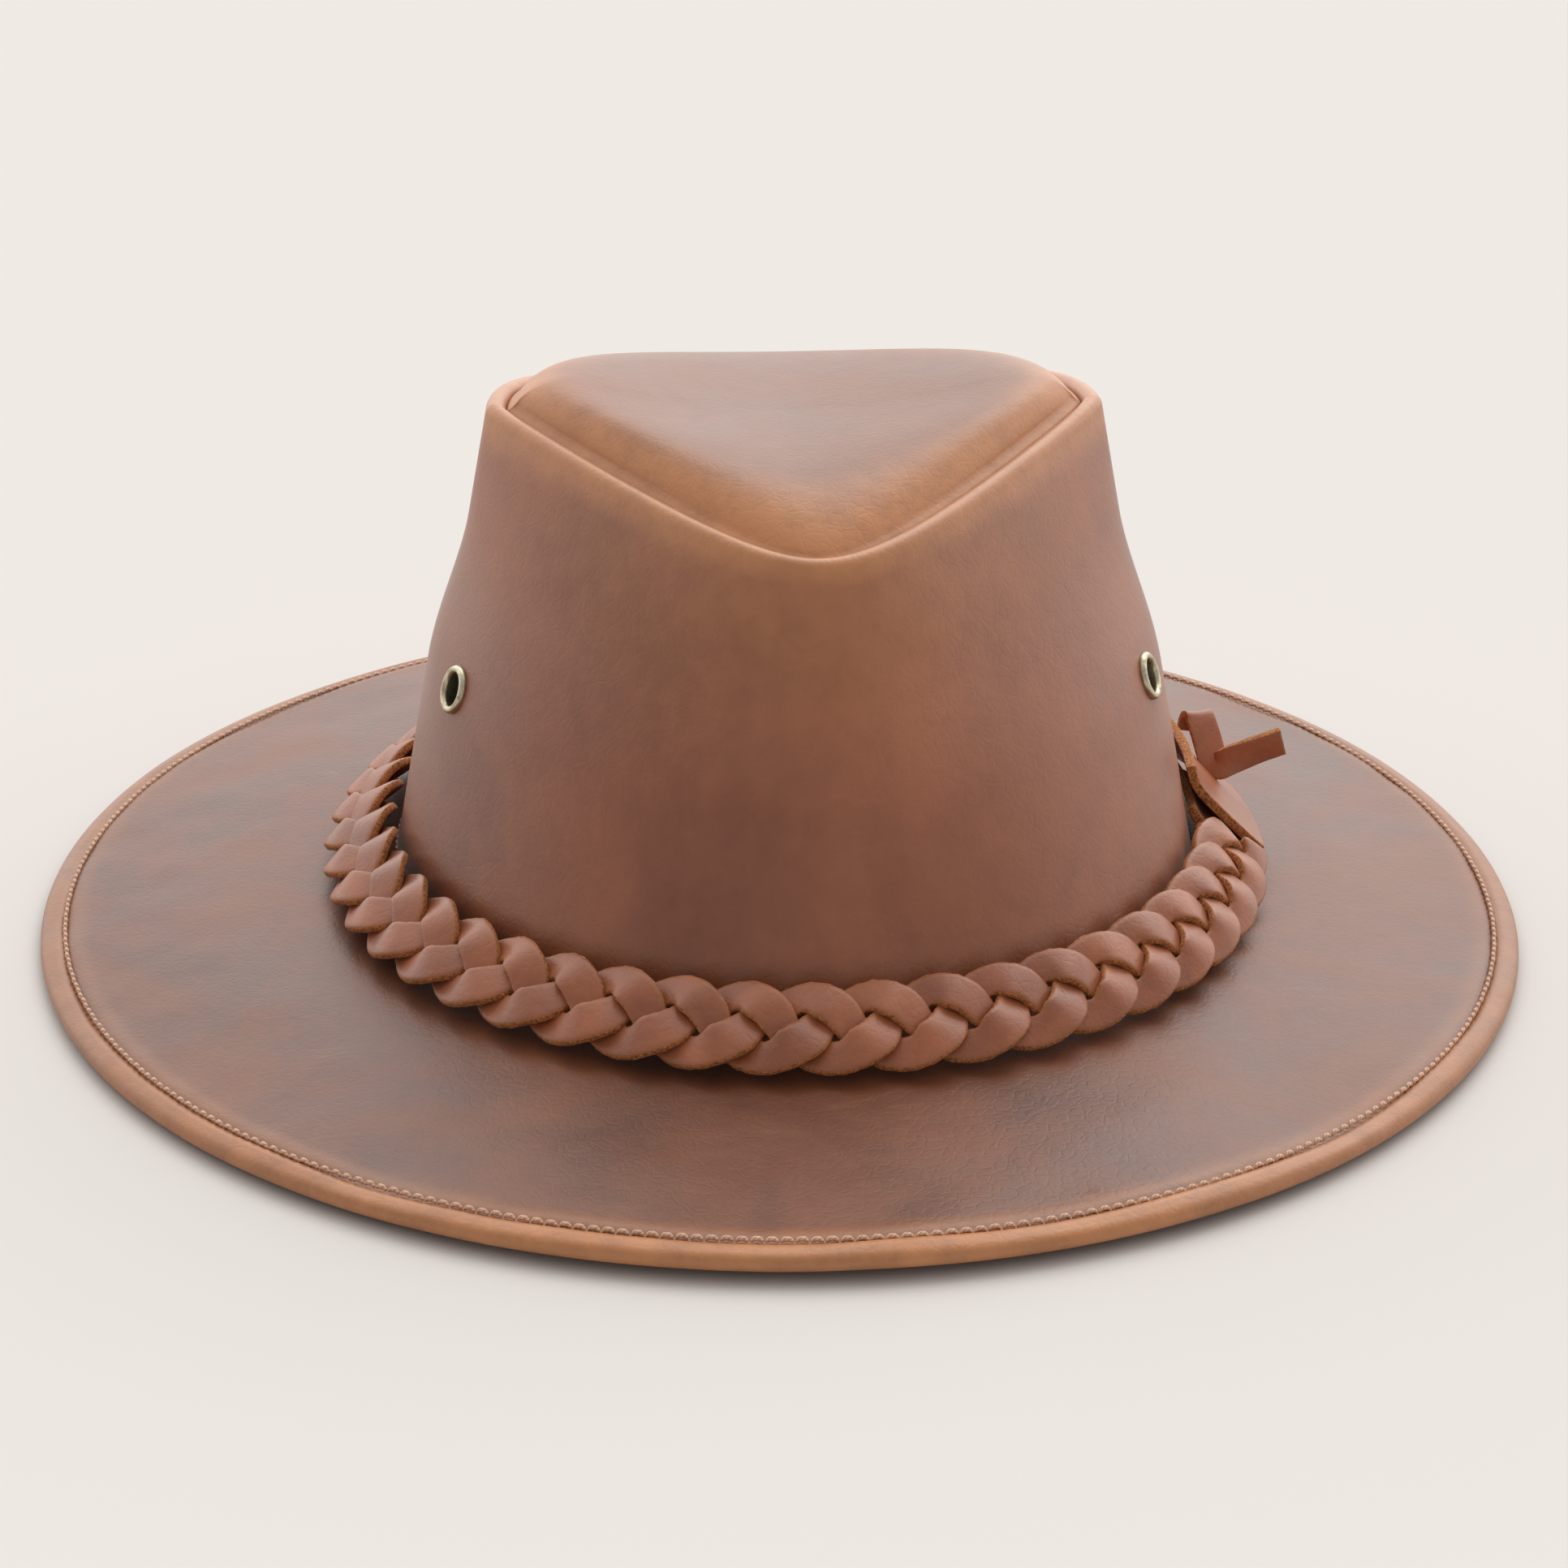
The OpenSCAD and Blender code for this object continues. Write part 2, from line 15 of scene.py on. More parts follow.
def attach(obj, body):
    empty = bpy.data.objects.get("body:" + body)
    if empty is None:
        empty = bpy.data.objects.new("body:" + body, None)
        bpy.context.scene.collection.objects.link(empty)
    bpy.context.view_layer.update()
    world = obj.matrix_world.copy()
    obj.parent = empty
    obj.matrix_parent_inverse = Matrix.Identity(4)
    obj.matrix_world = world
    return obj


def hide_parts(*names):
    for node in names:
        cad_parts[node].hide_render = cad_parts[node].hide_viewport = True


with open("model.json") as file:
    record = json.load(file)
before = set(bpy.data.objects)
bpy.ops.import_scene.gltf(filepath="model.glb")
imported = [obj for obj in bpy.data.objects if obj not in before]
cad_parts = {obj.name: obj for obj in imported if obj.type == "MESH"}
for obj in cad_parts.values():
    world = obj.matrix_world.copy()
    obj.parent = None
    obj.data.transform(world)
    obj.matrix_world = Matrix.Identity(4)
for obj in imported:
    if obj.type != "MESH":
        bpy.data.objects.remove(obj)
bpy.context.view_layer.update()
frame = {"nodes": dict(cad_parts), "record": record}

bl_info = {
    "name": "Leather hat",
    "version": (1, 0, 0),
    "blender": (4, 5, 0),
    "location": "View3D > Sidebar > Hat",
    "description": "Makes a leather hat with a braided band around its packed model",
    "category": "Add Mesh",
}

MM = 0.001
BORE_PROUD = 0.2  # mm that an eyelet's bore goes on outside the leather
EYELETS = [m for m in frame["record"]["mounts"] if "eyelet" in m["name"]]


def linear(colour):
    """An sRGB hex colour as three linear numbers: each share is raised as the sRGB curve says."""
    shares = [int(colour[i:i + 2], 16) / 255 for i in (1, 3, 5)]
    return tuple(s / 12.92 if s <= 0.04045 else ((s + 0.055) / 1.055) ** 2.4 for s in shares)


def length(name, text, mm):
    """A size of the hat, given in millimetres and kept in metres."""
    return FloatProperty(name=name, description=text, default=mm * MM, min=0, precision=5,
                         unit="LENGTH", subtype="DISTANCE")


def share(name, text, value):
    """A plain number from nothing to a few times one."""
    return FloatProperty(name=name, description=text, default=value, min=0, max=20)


def colour(name, text, value):
    """A colour of the hat, given in sRGB hex and kept linear."""
    return FloatVectorProperty(name=name, description=text, default=linear(value), min=0, max=1,
                               size=3, subtype="COLOR")


class HatSizes(bpy.types.PropertyGroup):
    """The hat's sizes, the same as in the model's source."""
    head_w: length("Head width", "Inside width of the sweatband", 169.6)
    head_l: length("Head length", "Inside length of the sweatband", 201.2)
    crown_t: length("Crown leather", "Thickness of the crown's leather", 1.4)
    brim_t: length("Brim leather", "Thickness of the brim's leather", 1.3)
    sweat_t: length("Sweatband leather", "Thickness of the sweatband's leather", 1.2)
    strap_t: length("Strap leather", "Thickness of the hat band's leather", 2.2)
    crown_h_side: length("Crown height, sides", "Height of the tip seam at the sides", 104)
    crown_h_front: length("Crown height, front", "Height of the tip seam at the front", 90)
    crown_h_back: length("Crown height, back", "Height of the tip seam at the back", 86)
    tip_half_w: length("Tip half width", "Half the width of the crown at the tip seam", 66)
    tip_front: length("Tip front", "Reach of the tip seam to the front", 74)
    tip_back: length("Tip back", "Reach of the tip seam to the back", 84)
    tip_point: share("Tip point", "How far the tip's front is drawn to a point", 0.86)
    tip_swell: length("Tip swell", "Height that the tip swells above its seam", 10)
    tip_dent: length("Tip dent", "Depth of the hollow in the middle of the tip", 2)
    crown_set: length("Crown set", "Shift of the crown across the brim", 3.5)
    roll_r: length("Seam roll", "Radius of the side panel's roll at the tip seam", 2.2)
    seam_allowance: length("Seam allowance", "Depth of the leather inside the tip seam", 5)
    brim_w: length("Brim width", "Width of the brim", 73.4)
    brim_drop_side: length("Brim drop, sides", "Fall of the brim at the sides", 5.8)
    brim_drop_front: length("Brim drop, front", "Fall of the brim at the front", 5.2)
    brim_drop_back: length("Brim drop, back", "Fall of the brim at the back", 7.5)
    base_rise: length("Base rise", "Rise of the crown's foot at the front and back", 1.4)
    wire_d: length("Brim wire", "Diameter of the wire in the brim's edge", 1)
    hem_w: length("Hem width", "Width of the hem under the brim", 9)
    stitch_in: length("Stitch inset", "Distance of the hem's stitches from the edge", 5.4)
    collar_h: length("Collar height", "Height of the brim's edge inside the crown", 9)
    sweat_h: length("Sweatband height", "Height of the sweatband", 32)
    eyelet_bore_r: length("Eyelet bore", "Radius of the hole through an eyelet", 3.5)
    eyelet_wall: length("Eyelet wall", "Thickness of an eyelet's barrel", 0.4)
    eyelet_rim: length("Eyelet rim", "Width of an eyelet's rolled rim", 1.3)
    washer_t: length("Washer", "Thickness of the washer behind an eyelet", 0.5)
    stitch_pitch: length("Stitch pitch", "Distance from one stitch to the next", 2.7)
    thread_w: length("Thread", "Width of a stitch's twisted thread", 0.95)
    braid_swing: length("Braid swing", "Sideways swing of a strand", 5.5)
    strand_w: length("Strand width", "Width of a strand", 8.5)
    braid_turns: IntProperty(name="Braid turns", description="Times that a strand goes to and fro",
                             default=14, min=3, max=40)
    band_out: length("Band out", "Distance of the braid's middle from the crown's foot", 7.5)
    band_up: length("Band up", "Height of the braid's middle above the brim", 7.9)
    thong_w: length("Thong width", "Width of the thong that ties the band", 6.5)


class HatColours(bpy.types.PropertyGroup):
    """The hat's colours before light falls on them; the crown's and tip's colours are a lit and a
    shaded copy of one leather, and the pulled colour also paints light.
    """
    # the crown and the tip are one leather, given a lit and a shaded copy of its colours
    crown: colour("Crown", "Waxed leather of the crown", "#9A5A3A")
    crown_dark: colour("Crown, dark", "Dark clouds in the crown's leather", "#7A4228")
    # the tip's two colours are painted darker than the crown's, as painted shade, since its top faces
    # the bright room
    tip: colour("Tip", "Waxed leather of the tip, rubbed darker by hands", "#7C4429")
    tip_dark: colour("Tip, dark", "Dark clouds in the tip's leather", "#64361F")
    brim: colour("Brim", "Waxed leather of the brim", "#784429")
    brim_dark: colour("Brim, dark", "Dark clouds in the brim's leather", "#59301D")
    # pulled also serves as painted light: it lightens the crown's upper front and the front of the
    # brim's hem
    pulled: colour("Pulled leather", "Waxed leather where a bend pulls it lighter", "#C08152")
    flesh: colour("Flesh side", "Rough inner side of the leather", "#8A6248")
    sweatband: colour("Sweatband", "Smooth leather of the sweatband", "#A5764F")
    strap: colour("Strap", "Grain side of the band's leather", "#A96341")
    strap_dark: colour("Strap, dark", "Dark clouds in the band's leather", "#874B30")
    strap_cut: colour("Strap, cut edge", "Fibres of the band's cut edges", "#AA6C3A")
    thread: colour("Thread", "Waxed sewing thread", "#DDAF90")
    brass: colour("Brass", "Antique brass of the eyelets", "#C8BFA6")
    steel: colour("Steel", "Wire in the brim's edge", "#8C8C8A")
    floor: colour("Floor", "Plain floor under the hat", "#D9D5D2")


# ---- Numbers and shapes ----------------------------------------------------------

def mix(a, b, k):
    """a where k is nothing, b where k is one, and even in between."""
    return a + (b - a) * k


def smooth(k):
    """A soft step: three times the square less twice the cube of k, kept from 0 to 1."""
    c = np.clip(k, 0, 1)
    return c * c * (3 - 2 * c)


def unit(v):
    """Each vector divided by its length."""
    return v / np.maximum(np.linalg.norm(v, axis=-1, keepdims=True), 1e-12)


def points(x, y, z):
    """Three arrays joined to one array of points."""
    return np.stack(np.broadcast_arrays(x, y, z), -1).astype(float)


def bump_of(x, middle, width):
    """A bell: one at the middle, falling as the square of the distance in widths."""
    return np.exp(-((x - middle) / width) ** 2)


def soft_noise(p, size, seed, waves=14):
    """A smooth cloud from about -1 to 1: waves of about the given size in seeded directions."""
    rng = np.random.default_rng(seed)
    way = unit(rng.normal(size=(waves, 3))) * (2 * np.pi / size)
    way = way * rng.uniform(0.6, 1.5, (waves, 1))
    return np.sin(p @ way.T + rng.uniform(0, 2 * np.pi, waves)).sum(-1) * math.sqrt(2 / waves) / 2


def normals_of(p, wrap):
    """The way out of a grid of points: the step along one side crossed with the other's."""
    along = np.roll(p, -1, 0) - np.roll(p, 1, 0) if wrap else np.gradient(p, axis=0)
    return unit(np.cross(along, np.gradient(p, axis=1)))


class Hat:
    """The hat's shape as functions of an angle round it: 0 at the wearer's left, 90 at the back."""
    APEX = 0.35  # roundness of the tip's front point, as a share of its half width
    EVEN = 0.84  # share of the crown's taper that is even; the rest is in its shoulder
    SHOULDER, SHOULDER_LEN = 0.46, 0.32  # where the shoulder starts and its length, in heights
    GAP = 0.12  # mm between two pieces that lie on each other

    def __init__(self, sizes):
        for prop in sizes.bl_rna.properties:
            if prop.type == "FLOAT":
                value = getattr(sizes, prop.identifier)
                setattr(self, prop.identifier, value / MM if prop.unit == "LENGTH" else value)
        self.braid_turns = sizes.braid_turns
        self.collar_out = self.crown_t + self.GAP
        self.collar_in = self.collar_out + self.brim_t
        self.sweat_out = self.collar_in + self.GAP
        self.sweat_in = self.sweat_out + self.sweat_t
        self.base_a = self.head_w / 2 + self.sweat_in
        self.base_b = self.head_l / 2 + self.sweat_in
        self.hem_r = self.brim_t + self.wire_d / 2 + self.GAP
        at_wire = 1 - self.hem_r / self.brim_w
        drops = (self.brim_drop_side * at_wire, self.brim_drop_front * at_wire - self.base_rise,
                 self.brim_drop_back * at_wire - self.base_rise)
        self.base_z = max(drops) + 2 * self.hem_r + self.GAP
        self.tip_edge = 2 * self.roll_r + self.GAP

    def edge_z(self, t):
        """Height of the crown's foot: it rises with the square of the sine of the angle."""
        return self.base_z + self.base_rise * np.sin(t) ** 2

    def reach(self, t, k):
        """Share of the reach along Y: the sine at the back, and k of the way to a point in front."""
        s, c, a = np.sin(t), np.abs(np.cos(t)), self.APEX
        pointed = 1 - (np.sqrt(c * c + a * a) - a) / (math.sqrt(1 + a * a) - a)
        return np.where(s < 0, -(1 - k) * np.abs(s) - k * pointed, s)

    def wall_h(self, t):
        """Height of the upright part of the side: from the sides' height to each end's."""
        r = self.reach(t, self.tip_point)
        front = mix(self.crown_h_side, self.crown_h_front, np.abs(r) ** 1.2)
        back = mix(self.crown_h_side, self.crown_h_back, np.abs(r) ** 1.8)
        return np.where(r < 0, front, back) - self.roll_r

    def wall(self, t, v):
        """The crown's outside at share v of its height: an oval that tapers to the tip's outline."""
        shoulder = smooth((v - self.SHOULDER) / self.SHOULDER_LEN)
        k = self.EVEN * v + (1 - self.EVEN) * shoulder
        half_w = mix(self.base_a, self.tip_half_w, k)
        half_l = mix(self.base_b, np.where(np.sin(t) < 0, self.tip_front, self.tip_back), k)
        return points(self.crown_set + half_w * np.cos(t),
                      half_l * self.reach(t, self.tip_point * v * v),
                      self.edge_z(t) + v * self.wall_h(t))

    def wall_out(self, t, v):
        """The level way out: square to the outline's step around the angle.

        Beside the tip's two side corners it leans to an oval's way out, so no inset folds over.
        """
        d = self.wall(t + 0.01, v) - self.wall(t - 0.01, v)
        oval = points(np.cos(t) / self.tip_half_w, np.sin(t) / self.tip_front, 0 * v)
        k = bump_of(np.sin(t), 0, 0.16) * smooth((v - 0.5) / 0.4)
        return unit(mix(unit(points(d[..., 1], -d[..., 0], 0)), unit(oval), k[..., None]))

    def inset(self, t, v, d, z=0):
        """The wall moved in by d and up by z."""
        d, z = np.asarray(d, float), np.asarray(z, float)
        lift = points(0, 0, z + np.zeros(np.broadcast(t, v).shape))
        return self.wall(t, v) - d[..., None] * self.wall_out(t, v) + lift

    def inset_h(self, t, h, d):
        """The wall moved in by d, at height h above the crown's foot."""
        return self.inset(t, h / self.wall_h(t), d)

    def base_out(self, t):
        """The level way out of the oval at the crown's foot."""
        return unit(points(np.cos(t) / self.base_a, np.sin(t) / self.base_b, 0))

    def brim_inner(self, t):
        """The oval at the crown's foot."""
        return points(self.crown_set + self.base_a * np.cos(t), self.base_b * np.sin(t), 0)

    def brim_outer(self, t):
        """The brim's outline: the oval moved out by the brim's width."""
        return (points(self.base_a * np.cos(t), self.base_b * np.sin(t), 0)
                + self.brim_w * self.base_out(t))

    def brim_len(self, t):
        """Length of the brim from the crown's foot to its edge."""
        return np.linalg.norm(self.brim_outer(t) - self.brim_inner(t), axis=-1)

    def on_brim(self, t, r, z=0.0):
        """A point r out from the crown and z above the brim: it falls evenly to the edge."""
        k = r / self.brim_len(t)
        n = self.base_out(t)
        end = np.where(n[..., 1] < 0, self.brim_drop_front, self.brim_drop_back)
        drop = self.brim_drop_side * n[..., 0] ** 2 + end * n[..., 1] ** 2
        p = mix(self.brim_inner(t), self.brim_outer(t), k[..., None])
        return points(p[..., 0], p[..., 1], self.edge_z(t) - self.GAP - drop * k + z)

    def beside(self, t, out, up):
        """A point out from the crown's foot and up from the brim's inner edge."""
        p = self.brim_inner(t) + np.asarray(out)[..., None] * self.base_out(t)
        return p + points(0, 0, self.edge_z(t) + up)

    def dome(self, t, k):
        """The tip at share k from its middle to its edge: a cushion that swells and dips a little.

        Its outline grows rounder towards the middle, as the cube of k.
        """
        e = self.inset(t, np.ones_like(t), self.tip_edge + 2.0, self.roll_r)
        middle = np.array([self.crown_set, (self.tip_back - self.tip_front) / 2, 0])
        mid_h = (self.crown_h_side + self.crown_h_front + self.crown_h_back) / 3
        inner = self.tip_half_w - self.tip_edge
        oval = points(self.crown_set + inner * np.cos(t), np.where(
            np.sin(t) < 0, 0.8 * self.tip_front, self.tip_back - self.tip_edge) * np.sin(t), 0)
        p = mix(middle, mix(oval, e, (k ** 3)[..., None]), k[..., None])
        level = mix(e[..., 2], self.base_z + mid_h, 1 - k * k)
        z = level + self.tip_swell * (1 - k ** 9) - self.tip_dent * (1 - k * k) ** 2
        return points(p[..., 0], p[..., 1], z)

    def spaced(self, curve, pitch):
        """Angles at even steps round a curve: its length so far is turned back into angles."""
        t = np.linspace(0, 2 * np.pi, 4001)
        so_far = np.concatenate([[0], np.cumsum(np.linalg.norm(np.diff(curve(t), axis=0), axis=1))])
        count = max(int(round(so_far[-1] / pitch)), 1)
        return np.interp(np.arange(count) * so_far[-1] / count, so_far, t)


def mount_place(mount):
    """Where a mount's axis leaves the crown, in millimetres, and the axis out of the crown.

    The mount stands in the middle of its bore, which ends a little outside the leather.
    """
    axis = unit(np.array(mount["axis"], float))
    out = mount["dims"]["length_mm"] / 2 - BORE_PROUD
    return np.array(mount["pos_m"]) / MM + out * axis, axis


# ---- Meshes ----------------------------------------------------------------------

def piece(name, co, faces, finish, body, replaced=(), slot=None, uv=None, sharp=None, **marks):
    """One object at the origin from points in millimetres and lists of faces, all as arrays.

    Its faces are turned to point out: the volume under them, summed as tetrahedra, is positive.
    uv holds two numbers for each corner, and marks hold one number for each point.
    """
    faces = [np.asarray(f, np.int64) for f in faces if len(f)]
    volume = 0.0
    for f in faces:
        for k in range(1, f.shape[1] - 1):
            a, b, c = co[f[:, 0]], co[f[:, k]], co[f[:, k + 1]]
            volume += (a * np.cross(b, c)).sum()
    turned = volume < 0
    if turned:
        faces = [f[:, ::-1] for f in faces]
        uv = None if uv is None else [u[:, ::-1] for u in uv]
    used = np.zeros(len(co), bool)
    for f in faces:
        used[f.ravel()] = True
    place = np.cumsum(used) - 1
    mesh = bpy.data.meshes.new(name)
    corners = np.concatenate([place[f].ravel() for f in faces]).astype(np.int32)
    sides = np.concatenate([np.full(len(f), f.shape[1]) for f in faces])
    mesh.vertices.add(int(used.sum()))
    mesh.vertices.foreach_set("co", (co[used] * MM).astype(np.float32).ravel())
    mesh.loops.add(len(corners))
    mesh.loops.foreach_set("vertex_index", corners)
    mesh.polygons.add(len(sides))
    starts = np.concatenate([[0], np.cumsum(sides)[:-1]]).astype(np.int32)
    mesh.polygons.foreach_set("loop_start", starts)
    mesh.polygons.foreach_set("use_smooth", np.ones(len(sides), bool))
    mesh.update(calc_edges=True)
    if uv is not None:
        layer = mesh.uv_layers.new(name="UVMap")
        flat = np.concatenate([u.reshape(-1, 2) for u in uv]).astype(np.float32)
        layer.uv.foreach_set("vector", flat.ravel())
    for mark, values in marks.items():
        layer = mesh.attributes.new(mark, "FLOAT", "POINT")
        layer.data.foreach_set("value", np.asarray(values, np.float32).ravel()[used])
    if sharp:
        mesh.set_sharp_from_angle(angle=math.radians(sharp))
    if mesh.validate():
        raise RuntimeError(f"{name} has faces that don't hold")
    mesh.materials.append(finish)
    obj = bpy.data.objects.new(name, mesh)
    bpy.context.scene.collection.objects.link(obj)
    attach(obj, body)
    if replaced:
        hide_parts(*replaced)
    return obj


def tube_faces(n, m, ring=False):
    """Faces of a tube of n sections with m points each, and back to the first one in a ring."""
    i, j = np.meshgrid(np.arange(n if ring else n - 1), np.arange(m), indexing="ij")
    i2, j2 = (i + 1) % n, (j + 1) % m
    return np.stack([i * m + j, i2 * m + j, i2 * m + j2, i * m + j2], -1).reshape(-1, 4)


def shell_faces(n, m, wrap, kept=None):
    """Faces of a leather sheet of n by m points on its face, followed by as many on its back.

    Each cell that is kept gives a face and a back. Wherever a kept cell meets none, a strip
    joins face to back, round the sheet's edge and round each hole.
    """
    cells_n = n if wrap else n - 1
    kept = np.ones((cells_n, m - 1), bool) if kept is None else kept
    back = n * m
    i, j = np.nonzero(kept)
    i2 = (i + 1) % n
    front = np.stack([i * m + j, i2 * m + j, i2 * m + j + 1, i * m + j + 1], 1)
    sides = []
    padded = np.pad(kept, ((0, 0), (1, 1)))
    for low in (True, False):
        at_i, at_j = np.nonzero(padded[:, 1:] & ~padded[:, :-1] if low
                                else padded[:, :-1] & ~padded[:, 1:])
        a, b = at_i * m + at_j, ((at_i + 1) % n) * m + at_j
        a, b = (b, a) if low else (a, b)
        sides.append(np.stack([a, b, b + back, a + back], 1))
    before = np.roll(kept, 1, 0) if wrap else np.pad(kept, ((1, 0), (0, 0)))
    after = kept if wrap else np.pad(kept, ((0, 1), (0, 0)))
    for low in (True, False):
        at_i, at_j = np.nonzero(after & ~before if low else before & ~after)
        a, b = at_i * m + at_j, at_i * m + at_j + 1
        a, b = (a, b) if low else (b, a)
        sides.append(np.stack([a, b, b + back, a + back], 1))
    return np.concatenate([front, front[:, ::-1] + back, *sides])


# pull marks pulled wax, and also painted light on the crown's upper front and the brim hem's front
MARKS = ("pull", "flesh", "cut")  # where wax is pulled, the flesh side shows, or a cut edge


def leather_sheet(name, face, behind, finish, body, wrap=False, kept=None, **more):
    """A sheet from the points of its face and of its back; marks come as pairs of arrays."""
    n, m = face.shape[:2]
    co = np.concatenate([face.reshape(-1, 3), behind.reshape(-1, 3)])
    marks = {k: np.concatenate([np.broadcast_to(a, (n, m)).ravel() for a in v])
             for k, v in more.items() if isinstance(v, tuple) and k in MARKS}
    rest = {k: v for k, v in more.items() if k not in marks}
    return piece(name, co, [shell_faces(n, m, wrap, kept)], finish, body, **rest, **marks)


def stitch_row(places, along, out, pitch, width, rise=0.32):
    """Stitches as little spindles on a row of places, each bowed out of the leather.

    A spindle's ring has six points. Its width is the fourth root of one less the eighth power
    of the way from its middle, and it bows by one less the square of that way.
    """
    s = np.array([-1, -0.86, -0.5, 0, 0.5, 0.86, 1])
    a = np.arange(6) * np.pi / 3
    along, out = unit(along), unit(out)
    side = unit(np.cross(along, out))
    size = width / 2 * np.maximum(1 - s ** 8, 0.08) ** 0.25
    size[[0, -1]] = width * 0.12
    lift = rise * width * (1 - 1.9 * s ** 2)
    length_way = s[:, None] * pitch * 0.44 * along[:, None]
    middle = places[:, None] + length_way + lift[:, None] * out[:, None]
    ring = (np.cos(a)[:, None] * side[:, None, None] + np.sin(a)[:, None] * out[:, None, None])
    co = (middle[:, :, None] + size[None, :, None, None] * ring).reshape(-1, 3)
    k, j = np.meshgrid(np.arange(6), np.arange(6), indexing="ij")
    caps = np.array([[0, 1, 2, 3], [0, 3, 4, 5], [39, 38, 37, 36], [41, 40, 39, 36]])
    one = np.concatenate([tube_faces(len(s), len(a)), caps])
    uv_of = np.stack([np.stack([k, k + 1, k + 1, k], -1) / 6,
                      np.stack([j, j, j + 1, j + 1], -1) / 6], -1).reshape(-1, 4, 2).astype(float)
    uv = np.concatenate([uv_of, np.zeros((4, 4, 2))])
    count = len(places)
    first = np.arange(count) * s.size * a.size
    faces = (one[None] + first[:, None, None]).reshape(-1, 4)
    return co, faces, np.tile(uv, (count, 1, 1))


def joined(rows):
    """Several rows of stitches as one: the later rows' numbers follow the earlier ones'."""
    first = np.cumsum([0] + [len(co) for co, _, _ in rows])
    return (np.concatenate([co for co, _, _ in rows]),
            np.concatenate([f + n for n, (_, f, _) in zip(first, rows)]),
            np.concatenate([uv for _, _, uv in rows]))


# ---- Finishes --------------------------------------------------------------------

def add(tree, kind, values=(), **settings):
    """Adds a shader node, with its settings, its ramp's stops, and its inputs' values or links."""
    node = tree.nodes.new("ShaderNode" + kind)
    for key, value in settings.items():
        if key == "stops":
            ramp = node.color_ramp.elements
            while len(ramp) < len(value):
                ramp.new(0.5)
            for element, (at, shade) in zip(ramp, value):
                element.position = at
                element.color = (shade,) * 3 + (1,) if isinstance(shade, float) else (*shade, 1)
        else:
            setattr(node, key, value)
    for key, value in dict(values).items():
        if isinstance(value, bpy.types.NodeSocket):
            tree.links.new(value, node.inputs[key])
        elif isinstance(value, (int, float)) or len(value) == len(node.inputs[key].default_value):
            node.inputs[key].default_value = value
        else:
            node.inputs[key].default_value = (*value, 1)
    return node


def fresh(name):
    """A new material and its empty node tree."""
    finish = bpy.data.materials.new(name)
    finish.use_nodes = True
    finish.node_tree.nodes.clear()
    return finish, finish.node_tree


def every(mm):
    """Scale of a texture whose features are this many millimetres apart."""
    return 1 / (mm * MM)


A, B, MIXED = 6, 7, 2  # a colour mix's two inputs and its output


